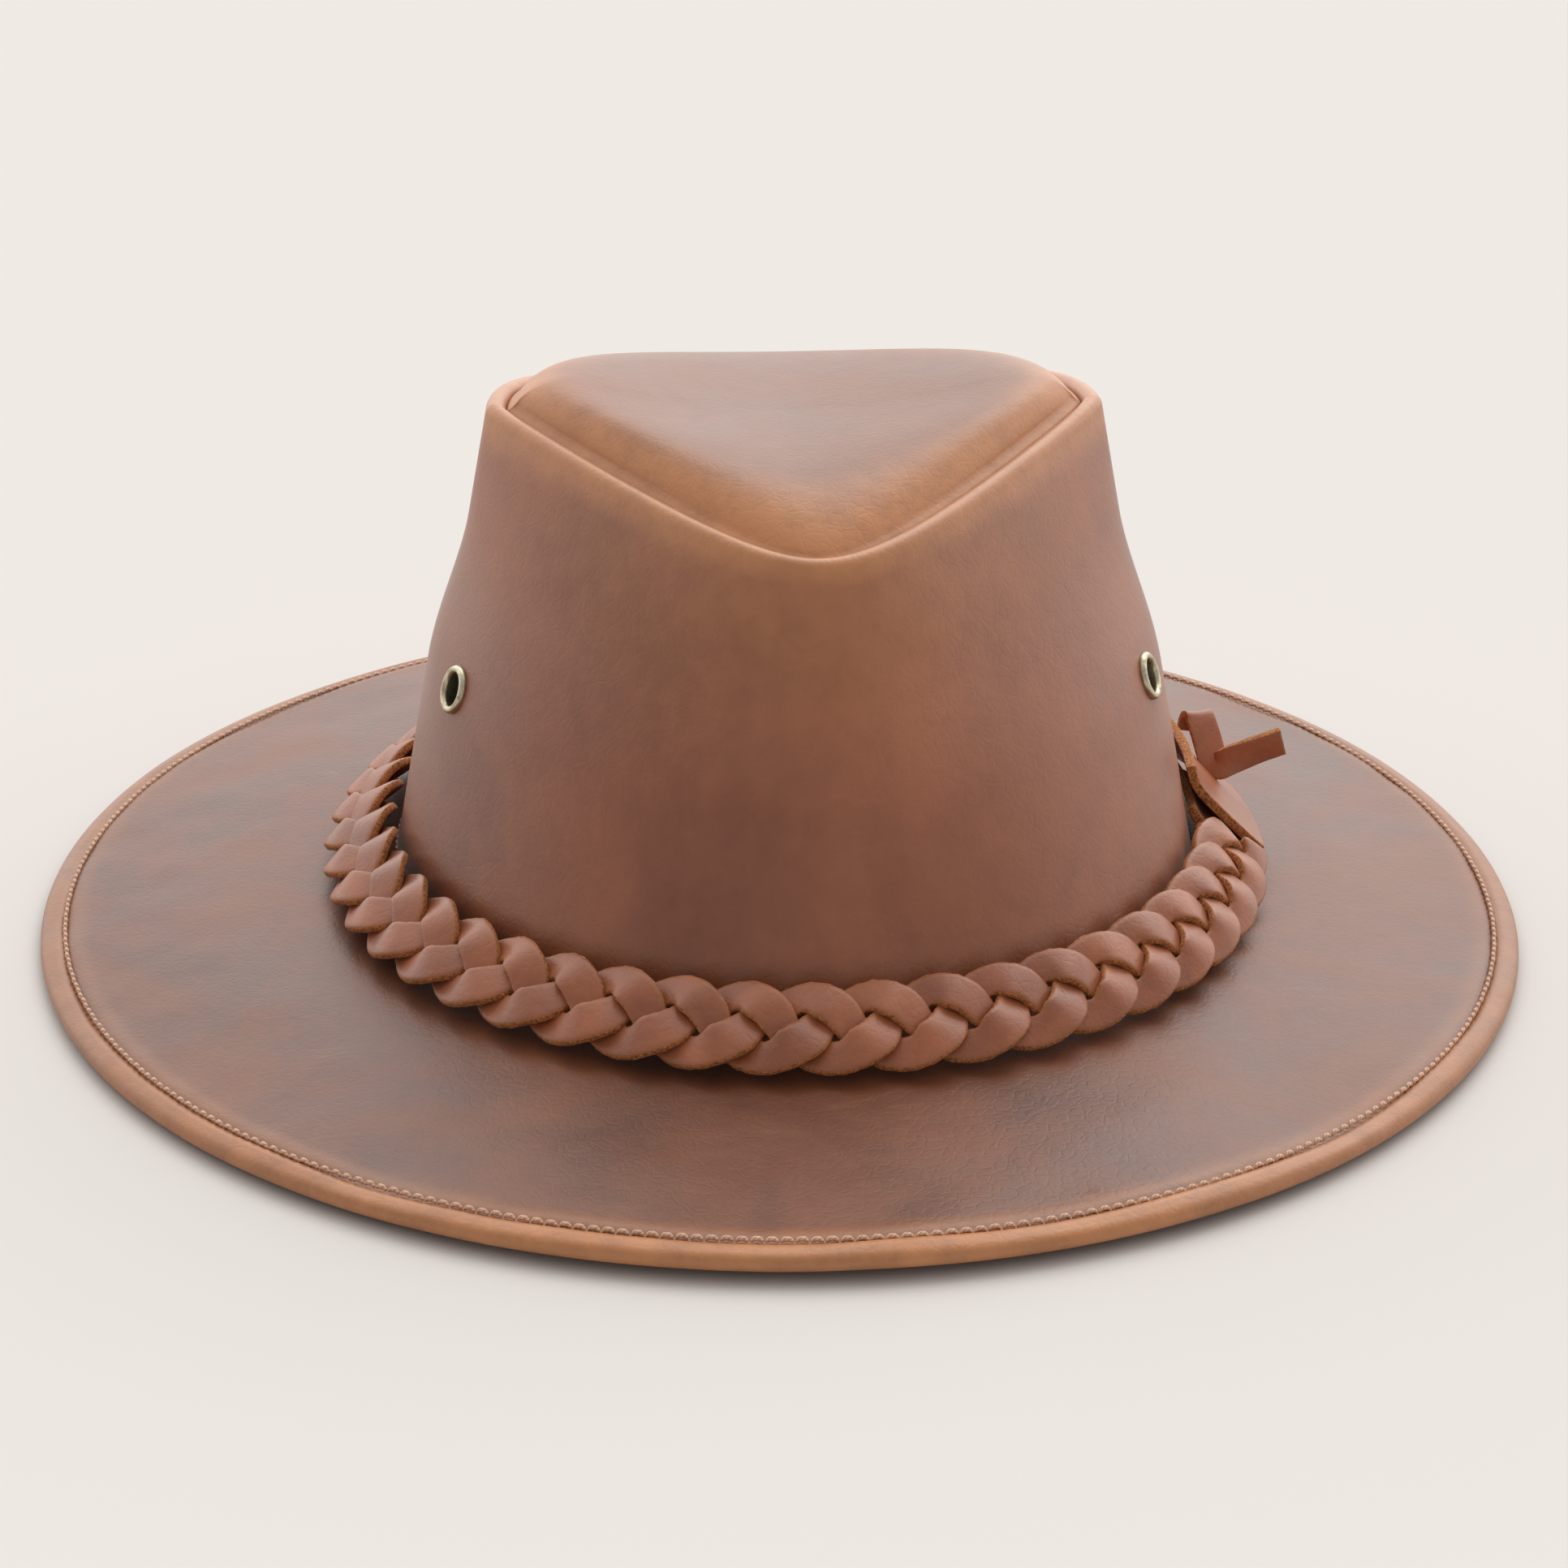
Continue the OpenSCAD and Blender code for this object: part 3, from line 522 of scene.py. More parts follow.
def waxed_leather(name, shade, dark, pulled, flesh, cut=None, gloss=0.43, clouds=75.0,
                  coat=0.0):
    """Pull-up leather: vegetable tanned, waxed, and lighter wherever a bend moves the wax; the same
    pull mark also carries painted light.

    The wax gives a soft grey sheen at low angles. Clouds come from an uneven dye, small pores
    and creases from the grain, and fine pale lines from handling. clouds is their size in
    millimetres, gloss is the mean roughness, and coat is how thickly the wax lies.
    """
    finish, tree = fresh(name)
    place = add(tree, "TexCoord").outputs["Object"]
    pull = add(tree, "Attribute", attribute_name="pull").outputs["Fac"]
    inside = add(tree, "Attribute", attribute_name="flesh").outputs["Fac"]
    raw = add(tree, "Attribute", attribute_name="cut").outputs["Fac"]
    cloud = add(tree, "TexNoise", {"Vector": place, "Scale": every(clouds), "Detail": 5,
                                   "Roughness": 0.6, "Distortion": 0.6}).outputs["Fac"]
    mottle = add(tree, "TexNoise", {"Vector": place, "Scale": every(7), "Detail": 6,
                                    "Roughness": 0.65}).outputs["Fac"]
    both = add(tree, "Mix", {0: 0.2, 2: cloud, 3: mottle}, data_type="FLOAT").outputs[0]
    clouded = add(tree, "ValToRGB", {"Fac": both}, stops=[(0.37, 0.0), (0.63, 1.0)]).outputs["Color"]
    body = add(tree, "Mix", {0: clouded, A: dark, B: shade}, data_type="RGBA").outputs[MIXED]
    # handling: thin lines where a stretched noise passes its middle value
    stretch = add(tree, "Mapping", {"Vector": place, "Rotation": (0.3, 0.2, 0.9),
                                    "Scale": (1, 9, 5)}).outputs["Vector"]
    lines = add(tree, "TexNoise", {"Vector": stretch, "Scale": every(55), "Detail": 3,
                                   "Distortion": 0.5}).outputs["Fac"]
    line = add(tree, "ValToRGB", {"Fac": lines},
               stops=[(0.488, 0.0), (0.5, 1.0), (0.512, 0.0)]).outputs["Color"]
    patch = add(tree, "TexNoise", {"Vector": place, "Scale": every(38), "Detail": 2}).outputs["Fac"]
    rubbed = add(tree, "ValToRGB", {"Fac": patch}, stops=[(0.52, 0.0), (0.68, 1.0)]).outputs["Color"]
    scratch = add(tree, "Math", {0: line, 1: rubbed}, operation="MULTIPLY").outputs[0]
    faint = add(tree, "Math", {0: scratch, 1: 0.1}, operation="MULTIPLY").outputs[0]
    scratched = add(tree, "Mix", {0: faint, A: body, B: pulled}, data_type="RGBA").outputs[MIXED]
    # pull-up: the mark, broken up by the mottle; in places the mark holds painted light rather than
    # pull-up
    broken = add(tree, "Math", {0: mottle, 1: 1.1, 2: 0.42}, operation="MULTIPLY_ADD").outputs[0]
    lifted = add(tree, "Math", {0: pull, 1: broken}, operation="MULTIPLY", use_clamp=True).outputs[0]
    grain = add(tree, "Mix", {0: lifted, A: scratched, B: pulled}, data_type="RGBA").outputs[MIXED]
    # flesh side: short fibres, paler and dull
    nap = add(tree, "TexNoise", {"Vector": place, "Scale": every(1.1), "Detail": 6,
                                 "Roughness": 0.7}).outputs["Fac"]
    fibre = add(tree, "Math", {0: nap, 1: 0.5, 2: 0.72}, operation="MULTIPLY_ADD").outputs[0]
    suede = add(tree, "Mix", {0: 1.0, A: flesh, B: fibre}, data_type="RGBA",
                blend_type="MULTIPLY").outputs[MIXED]
    shown = add(tree, "Mix", {0: inside, A: grain, B: suede}, data_type="RGBA").outputs[MIXED]
    if cut is not None:
        # cut edge: loose fibres, some standing pale in the light over dark hollows
        fuzz = add(tree, "TexNoise", {"Vector": place, "Scale": every(0.6), "Detail": 4,
                                      "Roughness": 0.75}).outputs["Fac"]
        speck = add(tree, "MapRange", {"Value": fuzz, "From Min": 0.4, "From Max": 0.64,
                                       "To Min": 0.5, "To Max": 1.75}).outputs["Result"]
        bare = add(tree, "Mix", {0: 1.0, A: cut, B: speck}, data_type="RGBA",
                   blend_type="MULTIPLY").outputs[MIXED]
        shown = add(tree, "Mix", {0: raw, A: shown, B: bare}, data_type="RGBA").outputs[MIXED]
    # grain: pebbles under a millimetre, a net of creases, and the fibres of a bare side
    pebble = add(tree, "TexVoronoi", {"Vector": place, "Scale": every(0.85), "Randomness": 1.0},
                 feature="SMOOTH_F1").outputs["Distance"]
    bent = add(tree, "TexNoise", {"Vector": place, "Scale": every(6), "Detail": 2}).outputs["Color"]
    near = add(tree, "Mix", {0: 0.004, 4: place, 5: bent}, data_type="VECTOR").outputs[1]
    net = add(tree, "TexVoronoi", {"Vector": near, "Scale": every(2.6)},
              feature="DISTANCE_TO_EDGE").outputs["Distance"]
    crease = add(tree, "ValToRGB", {"Fac": net}, stops=[(0.0, 0.0), (0.13, 1.0)]).outputs["Color"]
    ground = add(tree, "Mix", {0: 0.45, 2: pebble, 3: crease}, data_type="FLOAT").outputs[0]
    rough_side = add(tree, "Math", {0: inside, 1: raw}, operation="MAXIMUM").outputs[0]
    relief = add(tree, "Mix", {0: rough_side, 2: ground, 3: nap}, data_type="FLOAT").outputs[0]
    fine = add(tree, "Bump", {"Height": relief, "Strength": 0.22, "Distance": 0.25 * MM})
    wide = add(tree, "Bump", {"Height": mottle, "Strength": 0.07, "Distance": 0.8 * MM,
                              "Normal": fine.outputs["Normal"]})
    dull = add(tree, "Math", {0: cloud, 1: 0.24, 2: gloss - 0.12}, operation="MULTIPLY_ADD").outputs[0]
    duller = add(tree, "Mix", {0: rough_side, 2: dull, 3: 0.9}, data_type="FLOAT").outputs[0]
    skin = add(tree, "BsdfPrincipled", {
        "Base Color": shown, "Roughness": duller, "IOR": 1.55, "Specular IOR Level": 0.5,
        "Sheen Weight": 0.07, "Sheen Roughness": 0.4, "Sheen Tint": (0.85, 0.8, 0.78, 1),
        "Coat Weight": coat, "Coat Roughness": 0.4, "Normal": wide.outputs["Normal"]})
    add(tree, "OutputMaterial", {"Surface": skin.outputs["BSDF"]})
    return finish


def waxed_thread(name, shade):
    """Bonded polyester thread: three plies twisted together, with a waxy gloss."""
    finish, tree = fresh(name)
    uv = add(tree, "UVMap", uv_map="UVMap").outputs["UV"]
    turned = add(tree, "Mapping", {"Vector": uv, "Rotation": (0, 0, 0.62)}).outputs["Vector"]
    ply = add(tree, "TexWave", {"Vector": turned, "Scale": 1.3, "Distortion": 0.4,
                                "Detail": 1.0}, wave_type="BANDS", bands_direction="X").outputs["Fac"]
    place = add(tree, "TexCoord").outputs["Object"]
    cloud = add(tree, "TexNoise", {"Vector": place, "Scale": every(12), "Detail": 3}).outputs["Fac"]
    worn = add(tree, "Math", {0: cloud, 1: 0.5, 2: 0.72}, operation="MULTIPLY_ADD").outputs[0]
    # the grooves between the plies are painted darker, as painted shade; the cloud is uneven wear
    low = add(tree, "ValToRGB", {"Fac": ply}, stops=[(0.0, 0.62), (0.5, 1.0)]).outputs["Color"]
    ply_shade_and_wear = add(tree, "Math", {0: low, 1: worn}, operation="MULTIPLY").outputs[0]
    tinted = add(tree, "Mix", {0: 1.0, A: shade, B: ply_shade_and_wear}, data_type="RGBA",
                 blend_type="MULTIPLY").outputs[MIXED]
    relief = add(tree, "Bump", {"Height": ply, "Strength": 0.6, "Distance": 0.12 * MM})
    skin = add(tree, "BsdfPrincipled", {
        "Base Color": tinted, "Roughness": 0.5, "IOR": 1.5, "Sheen Weight": 0.15,
        "Normal": relief.outputs["Normal"]})
    add(tree, "OutputMaterial", {"Surface": skin.outputs["BSDF"]})
    return finish


def old_metal(name, shade, roughness, tarnish, spots):
    """A turned or drawn metal that has tarnished: dark in patches of a noise, which also roughens and
    bumps it.
    """
    finish, tree = fresh(name)
    place = add(tree, "TexCoord").outputs["Object"]
    patina = add(tree, "TexNoise", {"Vector": place, "Scale": every(spots), "Detail": 6,
                                    "Roughness": 0.7}).outputs["Fac"]
    dark = tuple(c * 0.3 for c in shade)
    tone = add(tree, "ValToRGB", {"Fac": patina}, stops=[(tarnish, dark), (tarnish + 0.25, shade)])
    uneven = add(tree, "Math", {0: patina, 1: -0.3, 2: roughness + 0.15}, operation="MULTIPLY_ADD")
    relief = add(tree, "Bump", {"Height": patina, "Strength": 0.15, "Distance": 0.1 * MM})
    skin = add(tree, "BsdfPrincipled", {
        "Base Color": tone.outputs["Color"], "Metallic": 1.0, "Roughness": uneven.outputs[0],
        "Normal": relief.outputs["Normal"]})
    add(tree, "OutputMaterial", {"Surface": skin.outputs["BSDF"]})
    return finish


def painted_floor(name, shade):
    """A matt painted board: even, with a very faint unevenness."""
    finish, tree = fresh(name)
    place = add(tree, "TexCoord").outputs["Object"]
    even = add(tree, "TexNoise", {"Vector": place, "Scale": 3.0}).outputs["Fac"]
    dull = add(tree, "Math", {0: even, 1: 0.04, 2: 0.93}, operation="MULTIPLY_ADD").outputs[0]
    skin = add(tree, "BsdfPrincipled", {"Base Color": shade, "Roughness": dull,
                                        "Specular IOR Level": 0.0})
    add(tree, "OutputMaterial", {"Surface": skin.outputs["BSDF"]})
    return finish


def finish_of(slot):
    """The finish for one of the record's material slots, made when it is first asked for."""
    c = bpy.context.scene.hat_colours
    name, make = {
        "crown_leather": ("waxed_crown_leather", lambda n: waxed_leather(
            n, c.crown, c.crown_dark, c.pulled, c.flesh, coat=0.22)),
        # the tip's finish is the crown's leather in darker colours, as painted shade
        "tip_leather": ("waxed_tip_leather", lambda n: waxed_leather(
            n, c.tip, c.tip_dark, c.pulled, c.flesh)),
        "brim_leather": ("waxed_brim_leather", lambda n: waxed_leather(
            n, c.brim, c.brim_dark, c.pulled, c.flesh, clouds=45.0)),
        "sweatband_leather": ("smooth_sweatband_leather", lambda n: waxed_leather(
            n, c.sweatband, c.flesh, c.pulled, c.flesh, cut=c.strap_cut, gloss=0.5)),
        "strap_leather": ("oiled_strap_leather", lambda n: waxed_leather(
            n, c.strap, c.strap_dark, c.strap_cut, c.flesh, cut=c.strap_cut, gloss=0.4,
            clouds=22.0)),
        "thread": ("waxed_polyester_thread", lambda n: waxed_thread(n, c.thread)),
        "eyelet_brass": ("antique_brass", lambda n: old_metal(n, c.brass, 0.34, 0.28, 1.6)),
        "wire_steel": ("drawn_steel", lambda n: old_metal(n, c.steel, 0.4, 0.2, 4.0)),
    }[slot]
    return bpy.data.materials.get(name) or make(name)


# ---- Operators -------------------------------------------------------------------

class HAT_OT_stage(bpy.types.Operator):
    """Makes the floor, the soft studio light and the camera"""
    bl_idname = "hat.stage"
    bl_label = "Stage"
    FLOOR_HALF = 15.0  # m
    # the room's light in front of the hat and behind it: [how far that way, strength]
    DIM, BRIGHT = (-0.5, 0.48), (0.8, 1.85)
    LEAN = 0.15  # share of the way to the right that counts as the way behind
    SUN_POWER, SUN_WIDTH, SUN_FROM = 0.9, 50, (0.4, 0.75, 1.0)  # W/m2, degrees, direction
    DOWN, TURN, ROLL = 21.52, 3.82, 0.155  # degrees that the camera is turned by
    TARGET, AWAY, LENS = (1.27, -0.15, 25.8), 779.4, 80.5  # mm

    def execute(self, context):
        scene = context.scene
        half = self.FLOOR_HALF
        mesh = bpy.data.meshes.new("floor")
        mesh.from_pydata([(-half, -half, 0), (half, -half, 0), (half, half, 0), (-half, half, 0)],
                         [], [(0, 1, 2, 3)])
        mesh.materials.append(painted_floor("painted_floor", scene.hat_colours.floor))
        floor = bpy.data.objects.new("floor", mesh)
        scene.collection.objects.link(floor)
        world = bpy.data.worlds.new("soft_room")
        world.use_nodes = True
        # a pale room that is bright behind the hat and dim in front of it
        tree = world.node_tree
        tree.nodes.clear()
        way = add(tree, "TexCoord").outputs["Generated"]
        apart = add(tree, "SeparateXYZ", {"Vector": way})
        side = add(tree, "Math", {0: apart.outputs["X"], 1: self.LEAN, 2: apart.outputs["Y"]},
                   operation="MULTIPLY_ADD").outputs[0]
        bright = add(tree, "MapRange", {"Value": side, "From Min": self.DIM[0],
                                        "From Max": self.BRIGHT[0], "To Min": self.DIM[1],
                                        "To Max": self.BRIGHT[1]},
                     interpolation_type="SMOOTHSTEP").outputs["Result"]
        room = add(tree, "Background", {"Color": (1.0, 0.985, 0.965), "Strength": bright})
        add(tree, "OutputWorld", {"Surface": room.outputs["Background"]})
        scene.world = world
        lamp = bpy.data.lights.new("softbox", "SUN")
        lamp.energy = self.SUN_POWER
        lamp.angle = math.radians(self.SUN_WIDTH)
        lamp.color = (1.0, 0.975, 0.94)
        key = bpy.data.objects.new("softbox", lamp)
        key.rotation_euler = Vector(self.SUN_FROM).to_track_quat("Z", "Y").to_euler()
        scene.collection.objects.link(key)
        scene.view_settings.view_transform = "Standard"
        self.camera(scene)
        return {"FINISHED"}

    def camera(self, scene):
        """Looks down at the hat from in front, a little from its right-hand side."""
        down, turn, roll = (math.radians(a) for a in (self.DOWN, self.TURN, self.ROLL))
        ahead = Vector((math.sin(turn) * math.cos(down), math.cos(turn) * math.cos(down),
                        -math.sin(down)))
        target = Vector(self.TARGET) * MM
        data = bpy.data.cameras.new("camera")
        data.sensor_width = data.sensor_height = 36
        data.lens = self.LENS
        data.clip_start, data.clip_end = 0.05, 60
        eye = bpy.data.objects.new("camera", data)
        level = ahead.cross(Vector((0, 0, 1))).normalized()
        up = level.cross(ahead)
        turned = Matrix((level, up, -ahead)).transposed().to_4x4() @ Matrix.Rotation(roll, 4, "Z")
        eye.matrix_world = Matrix.Translation(target - ahead * self.AWAY * MM) @ turned
        scene.collection.objects.link(eye)
        scene.camera = eye


class HAT_OT_crown_side(bpy.types.Operator):
    """Makes the crown's side panel, sewn up at the back, with its holes for the eyelets"""
    bl_idname = "hat.crown_side"
    bl_label = "Crown side"
    HOLE_ROOM = 0.25  # mm between an eyelet's barrel and the leather
    HOLE_REACH = 12  # mm each way along an eyelet's axis that its hole is cut

    def execute(self, context):
        hat = Hat(context.scene.hat_sizes)
        # once round from the back seam, up the wall, and over the roll
        t = np.radians(np.linspace(90.1, 449.9, 441))[:, None]
        v = np.linspace(0, 1, 56)[None]
        a = np.radians(np.linspace(18, 180, 10))[None]
        one = np.ones_like(a)
        down = np.linspace(0.3, 1, 3)[None]

        def side(depth):
            """The wall, half a turn of the roll, and the seam allowance, at a depth in the leather."""
            r = hat.roll_r - depth
            return np.concatenate([
                hat.inset(t, v, depth + np.zeros_like(v)),
                hat.inset(t, one, depth + r * (1 - np.cos(a)), r * np.sin(a)),
                hat.inset(t, np.ones_like(down), hat.roll_r * 2 - depth + 0 * down,
                          -hat.seam_allowance * down)], 1)

        face, back = side(0.0), side(hat.crown_t)
        kept = np.ones((face.shape[0] - 1, face.shape[1] - 1), bool)
        hole_r = hat.eyelet_bore_r + hat.eyelet_wall + self.HOLE_ROOM
        for mount in EYELETS:
            centre, axis = mount_place(mount)
            near = []
            for p in (face, back):
                d = p - centre
                depth = d @ axis
                level = d - depth[..., None] * axis
                far = np.linalg.norm(level, axis=-1)
                inside = (far < hole_r) & (np.abs(depth) < self.HOLE_REACH)
                near.append(inside)
                p[inside] += (level * (hole_r / np.maximum(far, 1e-6) - 1)[..., None])[inside]
            both = near[0] | near[1]
            kept &= ~(both[:-1, :-1] & both[1:, :-1] & both[1:, 1:] & both[:-1, 1:])
        # wax moves at the seam's roll and at the back seam; the upper front, from a little below the
        # shoulder, is painted lighter as painted light, so the lower front stays darker as painted
        # shade under the brim
        rows = np.arange(face.shape[1])[None]
        top = len(v[0]) - 1
        roll = smooth((rows - (top - 5)) / 6.0)
        seam = bump_of(np.degrees(t), 90, 2.2) + bump_of(np.degrees(t), 450, 2.2)
        painted_front_light = 0.42 * smooth((rows / top - 0.45) / 0.55) * bump_of(np.degrees(t), 270, 55)
        leather_sheet("crown_side_leather", face, back, finish_of("crown_leather"), "hat",
                      kept=kept, replaced=["crown_side"], slot="crown_leather", sharp=60,
                      pull=(np.maximum(np.maximum(0.85 * roll, 0.35 * seam), painted_front_light),
                            0 * rows + 0 * t),
                      flesh=(0 * rows + 0 * t, 1 + 0 * rows + 0 * t))
        return {"FINISHED"}


class HAT_OT_crown_tip(bpy.types.Operator):
    """Makes the cushioned tip that closes the crown"""
    bl_idname = "hat.crown_tip"
    bl_label = "Crown tip"

    def execute(self, context):
        hat = Hat(context.scene.hat_sizes)
        n = 400
        t = np.linspace(0, 2 * np.pi, n, endpoint=False)[:, None]
        down = np.linspace(1, 0, 3)[None]
        # the turn is a curve of the third degree through four guiding points
        s = np.linspace(0, 1, 9)[None, 1:-1]
        guide = np.array([[0, 0], [0, 1.0], [1.15, 1.05], [2, hat.roll_r]])
        weight = [(1 - s) ** 3, 3 * s * (1 - s) ** 2, 3 * s * s * (1 - s), s ** 3]
        inward = sum(w * g[0] for w, g in zip(weight, guide))
        upward = sum(w * g[1] for w, g in zip(weight, guide))
        k = 1 - np.linspace(0, 1, 44)[None] ** 1.5 * 0.985
        one = np.ones_like
        face = np.concatenate([
            hat.inset(t, one(down), hat.tip_edge + 0 * down, -hat.seam_allowance * down),
            hat.inset(t, one(inward), hat.tip_edge + inward, upward),
            hat.dome(t + 0 * k, k + 0 * t)], 1)
        out = -normals_of(face, True)
        out *= np.sign(out[0, -1, 2])
        back = face - hat.crown_t * out
        rows = face.shape[1]
        faces = shell_faces(n, rows, True)
        # the last ring of each side closes on one point in the middle
        centre = np.array([face[:, -1].mean(0), back[:, -1].mean(0)])
        co = np.concatenate([face.reshape(-1, 3), back.reshape(-1, 3), centre])
        ring = np.arange(n) * rows + rows - 1
        step = np.roll(ring, -1)
        end = 2 * n * rows
        strip = np.isin(faces, np.concatenate([ring, ring + n * rows])).all(1)
        fans = [np.stack([ring, step, np.full(n, end)], 1),
                np.stack([step, ring, np.full(n, end)], 1) + np.array([n * rows, n * rows, 1])]
        edge = np.concatenate([np.full(down.size + inward.size, 0.9),
                               0.95 * bump_of(1 - k[0], 0.0, 0.16) + 0.1])
        pull = np.concatenate([np.tile(edge, (n, 1)).ravel(), np.zeros(n * rows), [0.1, 0]])
        flesh = np.concatenate([np.zeros(n * rows), np.ones(n * rows), [0, 1]])
        # the tip takes the darker tip finish, as painted shade
        piece("crown_tip_leather", co, [faces[~strip], *fans], finish_of("tip_leather"), "hat",
              replaced=["crown_tip"], slot="crown_leather", sharp=60, pull=pull, flesh=flesh)
        return {"FINISHED"}


class HAT_OT_brim(bpy.types.Operator):
    """Makes the brim with its collar inside the crown and its hem rolled round the wire"""
    bl_idname = "hat.brim"
    bl_label = "Brim"

    def execute(self, context):
        hat = Hat(context.scene.hat_sizes)
        t = brim_stitch_angles(hat, 2)[:, None]
        n = len(t)
        wide = hat.brim_len(t)
        flat = np.zeros(n)[:, None]
        # rows from the collar's top to the hem's end, in mm up, out from the foot, as a share
        # of the width, in from the edge, and in degrees round the wire
        height = np.linspace(hat.collar_h, 0.8, 4)[None]
        foot = np.array([-1.35, -0.9, 0.2])[None]
        mid_rows = np.linspace(0.03, 0.845, 22)[None]
        outer = np.linspace(11.2, hat.hem_r + 0.25, 15)[None]
        turn = np.radians(np.linspace(80, -90, 9))[None]
        under = np.array([hat.hem_r + 0.8, hat.hem_r + 2, 5.2, hat.hem_w - 1.2, hat.hem_w])[None]
        # hollow of the stitch row with a dimple at each needle hole, and the hem's soft swell
        hole = np.where(np.arange(n) % 2 == 0, 1.0, 0.25)[:, None]
        sunk = bump_of(outer, hat.stitch_in, 0.75) * (0.22 + 0.3 * hole)
        swell = 0.35 * bump_of(outer, 3.3, 1.1) + 0.12 * bump_of(outer, 8.0, 1.5)
        rows = [
            hat.inset_h(t, height, hat.collar_out + 0 * height),
            hat.on_brim(t, foot + flat),
            hat.on_brim(t, mid_rows * wide),
            hat.on_brim(t, wide - outer, swell - sunk),
            hat.on_brim(t, wide - hat.hem_r + hat.hem_r * np.cos(turn),
                        hat.hem_r * (np.sin(turn) - 1) + flat),
            hat.on_brim(t, wide - under, flat - mix(2 * hat.hem_r, 2 * hat.brim_t + hat.GAP,
                                                    smooth((under - hat.hem_r) / 3))),
        ]
        face = np.concatenate(rows, 1)
        level = face * [1, 1, 0]
        waves = 0.45 * soft_noise(level, 70, 3) + 0.16 * soft_noise(level, 22, 4)
        way = np.linalg.norm(face - hat.brim_inner(t), axis=-1)
        face[..., 2] += waves * smooth((way - 22) / 20) * smooth((wide + 1 - way) / 6)
        face[..., 2] = np.maximum(face[..., 2], 0.02)  # nothing sinks into the floor
        out = normals_of(face, True)
        out *= np.sign(out[0, 12, 2])
        back = face - hat.brim_t * out
        collar = height.size + foot.size
        first_outer = collar + mid_rows.size
        row = np.arange(face.shape[1])
        # each row's distance in from the brim's edge, about
        from_edge = np.concatenate([np.full(collar, 90.0), (1 - mid_rows[0]) * 73, outer[0],
                                    np.full(turn.size, 1.0), under[0]])
        hem = np.where(row < first_outer, 0, smooth((hat.stitch_in + 1.0 - from_edge) / 1.6) * 0.68)
        hem = np.maximum(hem, 0.25 * bump_of(from_edge, 7.5, 2.5))
        # the hem's pull-up wear is painted stronger towards the front, as painted light
        hem_front_painted_light = np.clip(-np.sin(t), 0, 1) ** 2
        hem_wear_and_painted_light = hem[None] * (0.55 + 0.75 * hem_front_painted_light)
        leather_sheet("brim_leather", face, back, finish_of("brim_leather"), "hat", wrap=True,
                      replaced=["brim"], slot="brim_leather", sharp=60,
                      pull=(hem_wear_and_painted_light, 0 * hem_wear_and_painted_light), flesh=(0 * hem_wear_and_painted_light, 1 + 0 * hem_wear_and_painted_light))
        return {"FINISHED"}


def brim_stitch_angles(hat, share_of_pitch):
    """Angles at even steps along the brim's stitch line, so many to a stitch."""
    t = hat.spaced(lambda a: hat.on_brim(a, hat.brim_len(a) - hat.stitch_in), hat.stitch_pitch)
    whole = np.append(t, t[0] + 2 * np.pi)
    return np.interp(np.arange(len(t) * share_of_pitch) / share_of_pitch,
                     np.arange(len(whole)), whole)


class HAT_OT_stitching(bpy.types.Operator):
    """Makes every row of stitches, each stitch on its own"""
    bl_idname = "hat.stitching"
    bl_label = "Stitching"
    PITCH, THREAD = 3.2, 0.7  # mm, step and thread of the rows inside the hat
    ABOVE = 0.05  # mm that a thread's middle stands out of the leather
    SEAM_PITCH, SEAM_THREAD, SEAM_SIDE = 2.8, 0.75, 2.4  # mm, mm, and degrees from the back seam

    def execute(self, context):
        hat = Hat(context.scene.hat_sizes)
        one = np.ones_like

        def edge(a):
            """Round the brim, in from its edge."""
            return hat.on_brim(a, hat.brim_len(a) - hat.stitch_in)

        def foot(a):
            """Round the crown's outside, half way up the collar."""
            return hat.inset_h(a, hat.collar_h / 2 * one(a), 0 * a - self.ABOVE)

        def band(a, above=self.ABOVE):
            """Round the sweatband's inside, near its foot."""
            return hat.inset_h(a, 2.5 * one(a), hat.sweat_in + above + 0 * a)

        def tip(a):
            """Round the turned-down edges inside the tip seam."""
            inside = hat.tip_edge + hat.crown_t + 0.1
            return hat.inset(a, one(a), inside + 0 * a, 0 * a - 2.5)

        rows = {"brim_edge_stitches": ("brim_edge_stitching", [self.row(
            hat, brim_stitch_angles(hat, 2)[1::2], edge, (0, 0, 1.0), hat.stitch_pitch,
            hat.thread_w)])}
        for name, node, spaced_on, curve, out in (
                ("crown_foot_stitches", "crown_brim_stitching", foot, foot, 1),
                ("sweatband_stitches", "sweatband_stitching", lambda a: band(a, 0), band, -1),
                ("tip_seam_stitches", "crown_tip_stitching", tip, tip, -1)):
            t = hat.spaced(spaced_on, self.PITCH)
            rows[name] = (node, [self.row(hat, t, curve, out, self.PITCH, self.THREAD)])
        seams = []
        for side in (-1, 1):
            v = np.linspace(0.14, 0.965, 31)
            a = np.full_like(v, math.radians(90 + side * self.SEAM_SIDE))
            p = hat.inset(a, v, 0 * v - self.ABOVE)
            seams.append(stitch_row(p, np.gradient(p, axis=0), hat.wall_out(a, v),
                                    self.SEAM_PITCH, self.SEAM_THREAD))
        rows["back_seam_stitches"] = ("back_seam_stitching", seams)
        for name, (node, made) in rows.items():
            co, faces, uv = joined(made)
            piece(name, co, [faces], finish_of("thread"), "hat", replaced=[node], slot="thread",
                  uv=[uv])
        return {"FINISHED"}

    def row(self, hat, t, curve, out, pitch, width):
        """Stitches along a closed curve, on one vector's side, or outside (1) or inside (-1)."""
        p = curve(t)
        along = curve(t + 0.002) - curve(t - 0.002)
        way = np.broadcast_to(out, p.shape) if np.ndim(out) else out * hat.wall_out(t, 0.1 + 0 * t)
        wander = 0.06 * np.sin(np.arange(len(t)) * 2.4)[:, None] * unit(np.cross(along, way))
        return stitch_row(p + wander, along + wander * 0.3, way, pitch, width)


